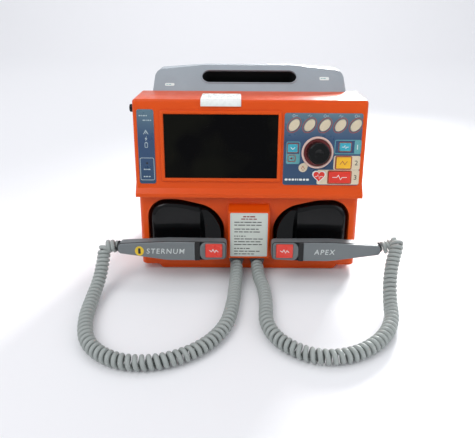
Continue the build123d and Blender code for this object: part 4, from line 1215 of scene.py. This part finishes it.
@dataclass
class PanelPrint:
    """Everything printed on the two membranes and the keys."""

    front: FlatPlane
    case: str = "case"
    slot: str = "panel_film"
    frame_corner: float = 2.4
    foot_drop: float = 14.7
    key_flange: float = 2.7
    level: float = 0.0
    foot: float = 0.0

    def build(self) -> None:
        """Prints all of the panel."""
        self.level = float(self.front.span("right_membrane")[1][2])
        self.foot = float(self.front.span("right_membrane")[0][1]) - self.foot_drop
        self.left_panel()
        self.soft_key_rings()
        self.left_keys()
        self.right_keys()
        self.selector()
        self.heart_sign()
        self.key_marks()

    def inlay(self, layer: int = 0) -> Inlay:
        """An empty print on the membrane, over as many earlier layers."""
        return Inlay(self.front, self.level + 0.05 * layer)

    def key_span(self, node: str) -> tuple[float, float, float, float]:
        """Middle across and up, width and height of a key as it shows."""
        low, high = self.front.span(node)
        width, height = high[0] - low[0] - self.key_flange, high[1] - low[1] - self.key_flange
        return (low[0] + high[0]) / 2, (low[1] + high[1]) / 2, width, height

    def left_panel(self) -> None:
        """Prints the narrow membrane: small print, three signs and an outlined box."""
        low, high = self.front.span("left_membrane")
        x, width = (low[0] + high[0]) / 2, high[0] - low[0]
        pale = self.inlay()
        pale.outline(x, self.foot + 35.5, width - 3.0, 31.0, 2.2, 0.7)
        pale.bars(x - 8.5, self.foot + 107.0, [2.6, 1.6, 3.0, 1.8], 1.5, 0.7)
        pale.bars(x - 3.4, self.foot + 101.0, [3.4, 1.4, 2.6, 2.0], 1.5, 0.7)
        pale.bars(x - 5.0, self.foot + 35.0, [2.8, 1.8, 3.2], 1.5, 0.7)
        pale.bars(x - 5.6, self.foot + 25.0, [2.2, 3.4, 2.6], 1.5, 0.7)
        pale.line([(x - 3.2, self.foot + 82.6), (x, self.foot + 88.0), (x + 3.2, self.foot + 82.6)], 0.8)
        pale.line(oval(x, self.foot + 85.0, 1.1, 1.1), 0.6, True)
        pale.fill(bolt(x, self.foot + 76.5, 7.0))
        pale.line(rounded(x, self.foot + 68.0, 3.6, 6.0, 0.6), 0.7, True)
        pale.bars(x - 0.8, self.foot + 71.7, [1.6], 0.8, 0.0)
        pale.piece("left_panel_print", INK_PALE, self.case, self.slot)
        lamps = self.inlay()
        lamps.fill(oval(x, self.foot + 43.5, 1.5, 1.5))
        lamps.piece("left_panel_lamps", INK_BLACK, self.case, self.slot)

    def soft_key_rings(self) -> None:
        """Prints an oval line round each soft key and a small sign over it."""
        rings, signs = self.inlay(), self.inlay()
        for number in range(5):
            low, high = self.front.span(f"soft_key_{number + 1}")
            x, up = (low[0] + high[0]) / 2, (low[1] + high[1]) / 2
            rings.line(oval(x, up, 11.0, 7.7, 50.0), 0.8, True)
            top = self.foot + 108.2
            if number % 2:
                signs.line([(x - 3, top), (x - 1.2, top), (x - 0.4, top + 1.8), (x + 0.6, top - 1.6),
                            (x + 1.3, top), (x + 3, top)], 0.55)
            else:
                signs.line(oval(x - 0.6, top, 1.6, 1.6), 0.55, True)
                signs.bars(x + 1.8, top, [2.4], 0.8, 0.0)
        rings.piece("soft_key_rings", INK_BROWN, self.case, self.slot)
        signs.piece("soft_key_signs", INK_PALE, self.case, self.slot)

    def left_keys(self) -> None:
        """Prints the teal frame round the page and mute keys."""
        page, mute = self.key_span("page_key"), self.key_span("mute_key")
        x, up = page[0] + 0.7, self.foot + 59.0
        teal = self.inlay()
        teal.outline(x, up, 18.6, 30.2, self.frame_corner, 1.1)
        teal.band(rounded(x, mute[1] - 0.4, 17.0, 12.6, 1.6),
                  rounded(mute[0], mute[1], mute[2] + 0.7, mute[3] + 0.7, 1.2))
        teal.piece("left_key_frame", INK_TEAL, self.case, self.slot)
        rim = self.inlay(1)
        rim.outline(mute[0], mute[1], mute[2] + 2.6, mute[3] + 2.6, 1.6, 0.7)
        rim.outline(page[0], page[1], page[2] + 2.2, page[3] + 2.2, 1.8, 0.6)
        rim.piece("left_key_rims", INK_BROWN, self.case, self.slot)

    def right_keys(self) -> None:
        """Prints the frames of the view, charge and shock keys, with their step numbers."""
        view, charge, shock = (self.key_span(f"{kind}_key") for kind in ("view", "charge", "shock"))
        right_edge = 151.0
        teal, cream, rim = self.inlay(), self.inlay(), self.inlay(1)
        middle, width = (114.9 + right_edge) / 2, right_edge - 114.9
        teal.outline(middle, view[1], width, 19.2, self.frame_corner, 1.0)
        teal.fill(rounded(right_edge - 5.0, view[1], 8.6, 17.0, 1.4))
        for key, left, height in ((charge, 114.7, 19.2), (shock, 93.0, 20.4)):
            inner = rounded(key[0], key[1], key[2] + 0.7, key[3] + 0.7, 1.4)
            middle, width = (left + right_edge) / 2, right_edge - left
            cream.band(rounded(middle, key[1], width, height, self.frame_corner), inner)
            rim.outline(key[0], key[1], key[2] + 3.4, key[3] + 3.4, 2.4, 1.3)
        rim.outline(view[0], view[1], view[2] + 2.4, view[3] + 2.4, 2.0, 0.7)
        teal.piece("view_key_frame", INK_TEAL, self.case, self.slot)
        cream.piece("charge_and_shock_frames", INK_CREAM, self.case, self.slot)
        rim.piece("right_key_rims", INK_BROWN, self.case, self.slot)
        for number, key in enumerate((view, charge, shock)):
            place = (right_edge - 5.2, key[1] - 3.2, self.level + 0.09)
            lettering(
                f"step_number_{number + 1}", str(number + 1), self.front, place, 6.4, 0.0, 1.0,
                INK_WHITE if number == 0 else INK_BLACK, self.case,
            )

    def selector(self) -> None:
        """Prints the dark red well of the selector and the callout at its foot."""
        low, high = self.front.span("selector_ring")
        x, up, radius = (low[0] + high[0]) / 2, (low[1] + high[1]) / 2, (high[0] - low[0]) / 2
        well = self.inlay()
        well.band(oval(x, up, radius - 2.6, radius - 2.6), oval(x, up, 4.2, 4.2))
        well.piece("selector_well", INK_DEEP_RED, self.case, self.slot)
        callout = self.inlay()
        away, drop = radians(228.0), radius + 6.4
        spot = (x + drop * cos(away), up + drop * sin(away))
        shape = []
        for step in range(25):
            angle = away - radians(128.0) + radians(256.0) * step / 24
            shape.append((spot[0] + 6.0 * cos(angle), spot[1] + 6.0 * sin(angle)))
        tip = radius + 0.4
        shape.append((x + tip * cos(away + 0.16), up + tip * sin(away + 0.16)))
        shape.append((x + tip * cos(away - 0.16), up + tip * sin(away - 0.16)))
        callout.fill(shape)
        callout.piece("selector_callout", INK_CREAM, self.case, self.slot)
        arrow = self.inlay(1)
        x, up = spot
        arrow.line([(x - 2.4, up - 2.0), (x, up + 2.4), (x + 2.4, up - 2.0)], 0.8)
        arrow.bars(x - 1.6, up - 3.2, [3.2], 0.8, 0.0)
        arrow.piece("selector_callout_sign", INK_BROWN, self.case, self.slot)

    def heart_sign(self) -> None:
        """Prints the red heart with its pale outline, and the row of small print beside it."""
        x, up = 95.8, self.foot + 26.2
        pale = self.inlay(1)
        pale.fill(heart(x, up, 17.6))
        pale.bars(x - 47.0, up - 4.0, [4.0, 3.2, 3.6, 2.0, 1.4, 4.2, 3.4, 3.8], 2.8, 1.1)
        pale.piece("heart_outline", INK_WHITE, self.case, self.slot)
        self.inlay(2).fill(heart(x, up, 14.6)).piece("heart_sign", INK_HEART, self.case, self.slot)
        trace = [(-5.6, 0.6), (-2.6, 0.6), (-1.4, 3.4), (0.4, -3.2), (1.6, 0.6), (5.6, 0.6)]
        wave = self.inlay(3).line([(x + a, up + b) for a, b in trace], 0.7)
        wave.piece("heart_wave", INK_WHITE, self.case, self.slot)

    def key_marks(self) -> None:
        """Prints a mark on each panel key that moves with it."""
        marks = {
            "page_key": [[(-3.0, 1.2), (0.0, -1.6), (3.0, 1.2)]],
            "view_key": [[(-4.4, 0.0), (-1.6, 0.0), (-0.6, 2.2), (0.8, -2.2), (1.8, 0.0), (4.4, 0.0)]],
            "mute_key": [[(2.2, -1.6), (2.2, 1.6)]],
            "charge_key": [[(-5.0, -2.4), (-1.6, 2.4), (1.6, -2.4), (5.0, 2.4)]],
            "shock_key": [[(-10.0, 0.0), (-4.0, 0.0), (-2.0, 3.0), (1.4, -3.0), (3.4, 0.0), (10.0, 0.0)]],
        }
        inks = {"charge_key": INK_BROWN, "mute_key": INK_DEEP_RED}
        for node, strokes in marks.items():
            low, high = self.front.span(node)
            x, up = (low[0] + high[0]) / 2, (low[1] + high[1]) / 2
            mark = Inlay(self.front, float(high[2]))
            for stroke in strokes:
                mark.line([(x + a, up + b) for a, b in stroke], 0.8)
            if node == "mute_key":
                mark.fill([(x - 2.6, up), (x + 0.9, up - 2.1), (x + 0.9, up + 2.1)])
            mark.piece(f"{node}_mark", inks.get(node, INK_WHITE), f"{node}_body", "key_red")


@dataclass
class TrayLooks:
    """The paddle tray, the block in its middle and the printed plate on it."""

    front: FlatPlane
    rows: tuple[tuple[float, float], ...] = (
        (0.0, 38.0), (1.0, 38.0), (2.4, 34.0), (3.4, 36.0), (4.9, 16.0), (5.9, 40.0), (6.9, 37.0),
        (7.9, 39.0), (9.3, 22.0), (10.3, 36.0), (11.3, 28.0),
    )
    pitch: float = 4.1
    line_height: float = 1.25

    def build(self) -> None:
        """Dresses the tray and prints the plate."""
        dress(ORANGE, "paddle_tray", "cord_block", "base_skirt")
        dress(BUSH_RUBBER, "cord_bushes")
        dress(CHROME, "test_contacts")
        dress(PLATE, "instruction_plate")
        dress(BLACK_RUBBER, "rubber_feet")
        self.plate()

    def plate(self) -> None:
        """Prints a heading and rows of small print as broken bars."""
        low, high = self.front.span("instruction_plate")
        left, top, level = low[0] + 5.5, high[1] - 13.0, float(high[2])
        heading = Inlay(self.front, level)
        middle = (low[0] + high[0]) / 2
        heading.bars(middle - 8.4, high[1] - 5.0, [4.6, 3.4, 7.0], 1.8, 0.9)
        heading.bars(middle - 11.0, high[1] - 8.4, [6.0, 3.0, 5.2, 5.0], 1.5, 0.9)
        heading.piece("plate_heading", INK_PLATE_RED, "case", "plate_film")
        rows = Inlay(self.front, level)
        shares = (0.22, 0.13, 0.3, 0.17, 0.18)
        for number, (drop, width) in enumerate(self.rows):
            turned = shares[number % 5:] + shares[:number % 5]
            widths = [share * (width - 4.0) for share in turned]
            rows.bars(left, top - drop * self.pitch, widths, self.line_height, 1.0)
        rows.piece("plate_small_print", INK_PRINT, "case", "plate_film")
        border = Inlay(self.front, level)
        width, height = high[0] - low[0] - 2.4, high[1] - low[1] - 2.4
        border.outline(middle, (low[1] + high[1]) / 2, width, height, 1.2, 0.4)
        border.piece("plate_border", INK_PALE, "case", "plate_film")


@dataclass
class RearLooks:
    """The grey rear housing, its hand slot, battery cover, inlet, screws and labels."""

    lip: float = 1.0
    flange_length: float = 6.0
    flange_width: float = 5.0
    plate_rise: float = 45.0
    plate_size: tuple[float, float, float] = (96.0, 46.0, 3.0)
    labels_at: tuple[tuple[float, float, float, float], ...] = (
        (-116.5, -15.6, 13.6, 4.8), (110.5, -3.0, 14.0, 6.0),
    )

    def build(self) -> None:
        """Dresses the housing and adds the slot's lip and the labels."""
        dress(GREY, "rear_housing", "battery_cover")
        dress(BLACK_LINER, "handle_well", "mains_inlet")
        dress(STEEL, "housing_screws")
        slope = FlatPlane.facing("rear_housing", Vector((0.0, -0.7, 0.7)))
        self.slot_lip(slope)
        self.labels(slope)
        self.rating_plate(FlatPlane.facing("rear_housing", Vector((0.0, 1.0, 0.0))))

    def slot_lip(self, slope: FlatPlane) -> None:
        """Rounds the mouth of the hand slot with a moulded lip."""
        low, high = slope.span("handle_well")
        up, radius = (low[1] + high[1]) / 2, (high[1] - low[1] - self.flange_width) / 2
        straight = (high[0] - low[0] - self.flange_length) / 2 - radius
        loop = []
        for side in (1, -1):
            for step in range(25):
                angle = (-0.5 + step / 24) * pi if side > 0 else (0.5 + step / 24) * pi
                loop.append(slope.at(side * straight + radius * cos(angle), up + radius * sin(angle), 0.0))
        points, faces = tube_mesh(np.array(loop), self.lip * MM, 12, True)
        make_piece("hand_slot_lip", points, faces, GREY, "case", True)
        log.info("hand_slot_lip: moulded round the slot")

    def labels(self, slope: FlatPlane) -> None:
        """Sticks two small blank labels on the slope."""
        low, high = slope.span("handle_well")
        slot_up = (low[1] + high[1]) / 2
        for number, (x, rise, width, height) in enumerate(self.labels_at):
            up = slot_up + rise
            label = Inlay(slope, 0.0, 0.12).fill(rounded(x, up, width, height, height * 0.3))
            label.piece(f"slope_label_{number + 1}", INK_WHITE, "case", "plate_film")
            print_row = Inlay(slope, 0.12).bars(x - width * 0.38, up, [width * 0.2, width * 0.3], 1.0, 0.6)
            print_row.piece(f"slope_label_print_{number + 1}", INK_TEAL, "case", "plate_film")

    def rating_plate(self, back: FlatPlane) -> None:
        """Sticks a rating plate with broken rows and plain signs on the back."""
        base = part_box("rear_housing")
        up = ((base[0].z + base[1].z) / 2 - back.origin.z) / MM + self.plate_rise
        plate = Inlay(back, 0.0, 0.25).fill(rounded(0.0, up, *self.plate_size))
        plate.piece("rating_plate", PLATE, "case", "plate_film")
        rows = Inlay(back, 0.25)
        for number in range(6):
            widths = [9.0 + (number * 5 + part * 7) % 8 for part in range(4 if number % 2 else 3)]
            rows.bars(-43.0, up + 15.0 - number * 5.4, widths, 1.4, 1.4)
        rows.outline(34.0, up - 9.0, 15.0, 15.0, 1.0, 0.7)
        rows.line(oval(34.0, up - 9.0, 3.6, 3.6), 0.9, True)
        rows.piece("rating_plate_print", INK_BLACK, "case", "plate_film")


@dataclass
class Paddle:
    """One hand paddle: dome, electrode, grip, button and what is printed on it."""

    name: str
    front: FlatPlane
    label: str
    label_x: float
    sign_x: float | None = None
    label_up: float = 32.6
    cap: float = 7.0

    def build(self) -> None:
        """Dresses the paddle and lays its print."""
        dress(GLOSS_BLACK, f"{self.name}_base")
        dress(STEEL, f"{self.name}_electrode")
        dress(GRIP_SHELL, f"{self.name}_grip_rear", f"{self.name}_button_housing")
        dress(GRIP_FACE, f"{self.name}_grip_face")
        dress(BLACK_RUBBER, f"{self.name}_grip_seal", f"{self.name}_gland")
        dress(BUTTON_RED, f"{self.name}_button")
        dress(BOARD, f"{self.name}_switch")
        body = f"{self.name}_paddle"
        level = float(self.front.span(f"{self.name}_grip_face")[1][2])
        lettering(
            f"{self.name}_label", self.label, self.front, (self.label_x, self.label_up, level + 0.02),
            self.cap, 0.12, 1.22, INK_LETTER, body,
        )
        if self.sign_x is not None:
            up = self.label_up + self.cap / 2
            Inlay(self.front, level, 0.1).fill(oval(self.sign_x, up, 6.0, 6.6)).piece(
                f"{self.name}_sign", INK_YELLOW, body, "grip_grey")
            mark = Inlay(self.front, level + 0.1).fill(rounded(self.sign_x, up, 3.4, 8.0, 1.2))
            mark.piece(f"{self.name}_sign_mark", INK_BLACK, body, "grip_grey")
        self.button_mark()

    def button_mark(self) -> None:
        """Prints a small wave on the button."""
        low, high = self.front.span(f"{self.name}_button")
        x, up = (low[0] + high[0]) / 2, (low[1] + high[1]) / 2
        trace = [(-6.0, 1.0), (-3.0, -1.0), (-1.0, 2.2), (1.4, -2.2), (3.0, 1.2), (6.0, -1.4)]
        mark = Inlay(self.front, float(high[2])).line([(x + a, up + b) for a, b in trace], 0.9)
        mark.piece(f"{self.name}_button_mark", INK_WHITE, f"{self.name}_trigger", "button_orange")


@dataclass
class Internals:
    """What is inside the case."""

    def build(self) -> None:
        """Dresses the boards, battery, capacitor and speaker."""
        dress(BOARD, "main_board", "keypad_board", "power_supply", "selector_encoder", "lcd_module")
        dress(BATTERY_WRAP, "battery_pack")
        dress(CAN, "hv_capacitor")
        dress(SPEAKER_BASKET, "speaker")


def leaning_front() -> FlatPlane:
    """The plane of the tray's face, with its foot at the underside of the case."""
    turn = next(joint for joint in frame["joints"] if joint["name"] == "selector_turn")
    low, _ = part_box("paddle_tray")
    return FlatPlane(Vector((0.0, low.y, low.z)), Vector(turn["axis"]).normalized())


def main() -> None:
    """Builds every piece in order."""
    logging.basicConfig(level=logging.INFO, format="%(message)s")
    front = leaning_front()
    Studio().build()
    CordPair(front).build()
    HeadLooks().build()
    PanelPrint(front).build()
    TrayLooks(front).build()
    RearLooks().build()
    Paddle("sternum", front, "STERNUM", -113.0, -148.0).build()
    Paddle("apex", front, "APEX", 101.5).build()
    Internals().build()


if __name__ == "__main__":
    main()
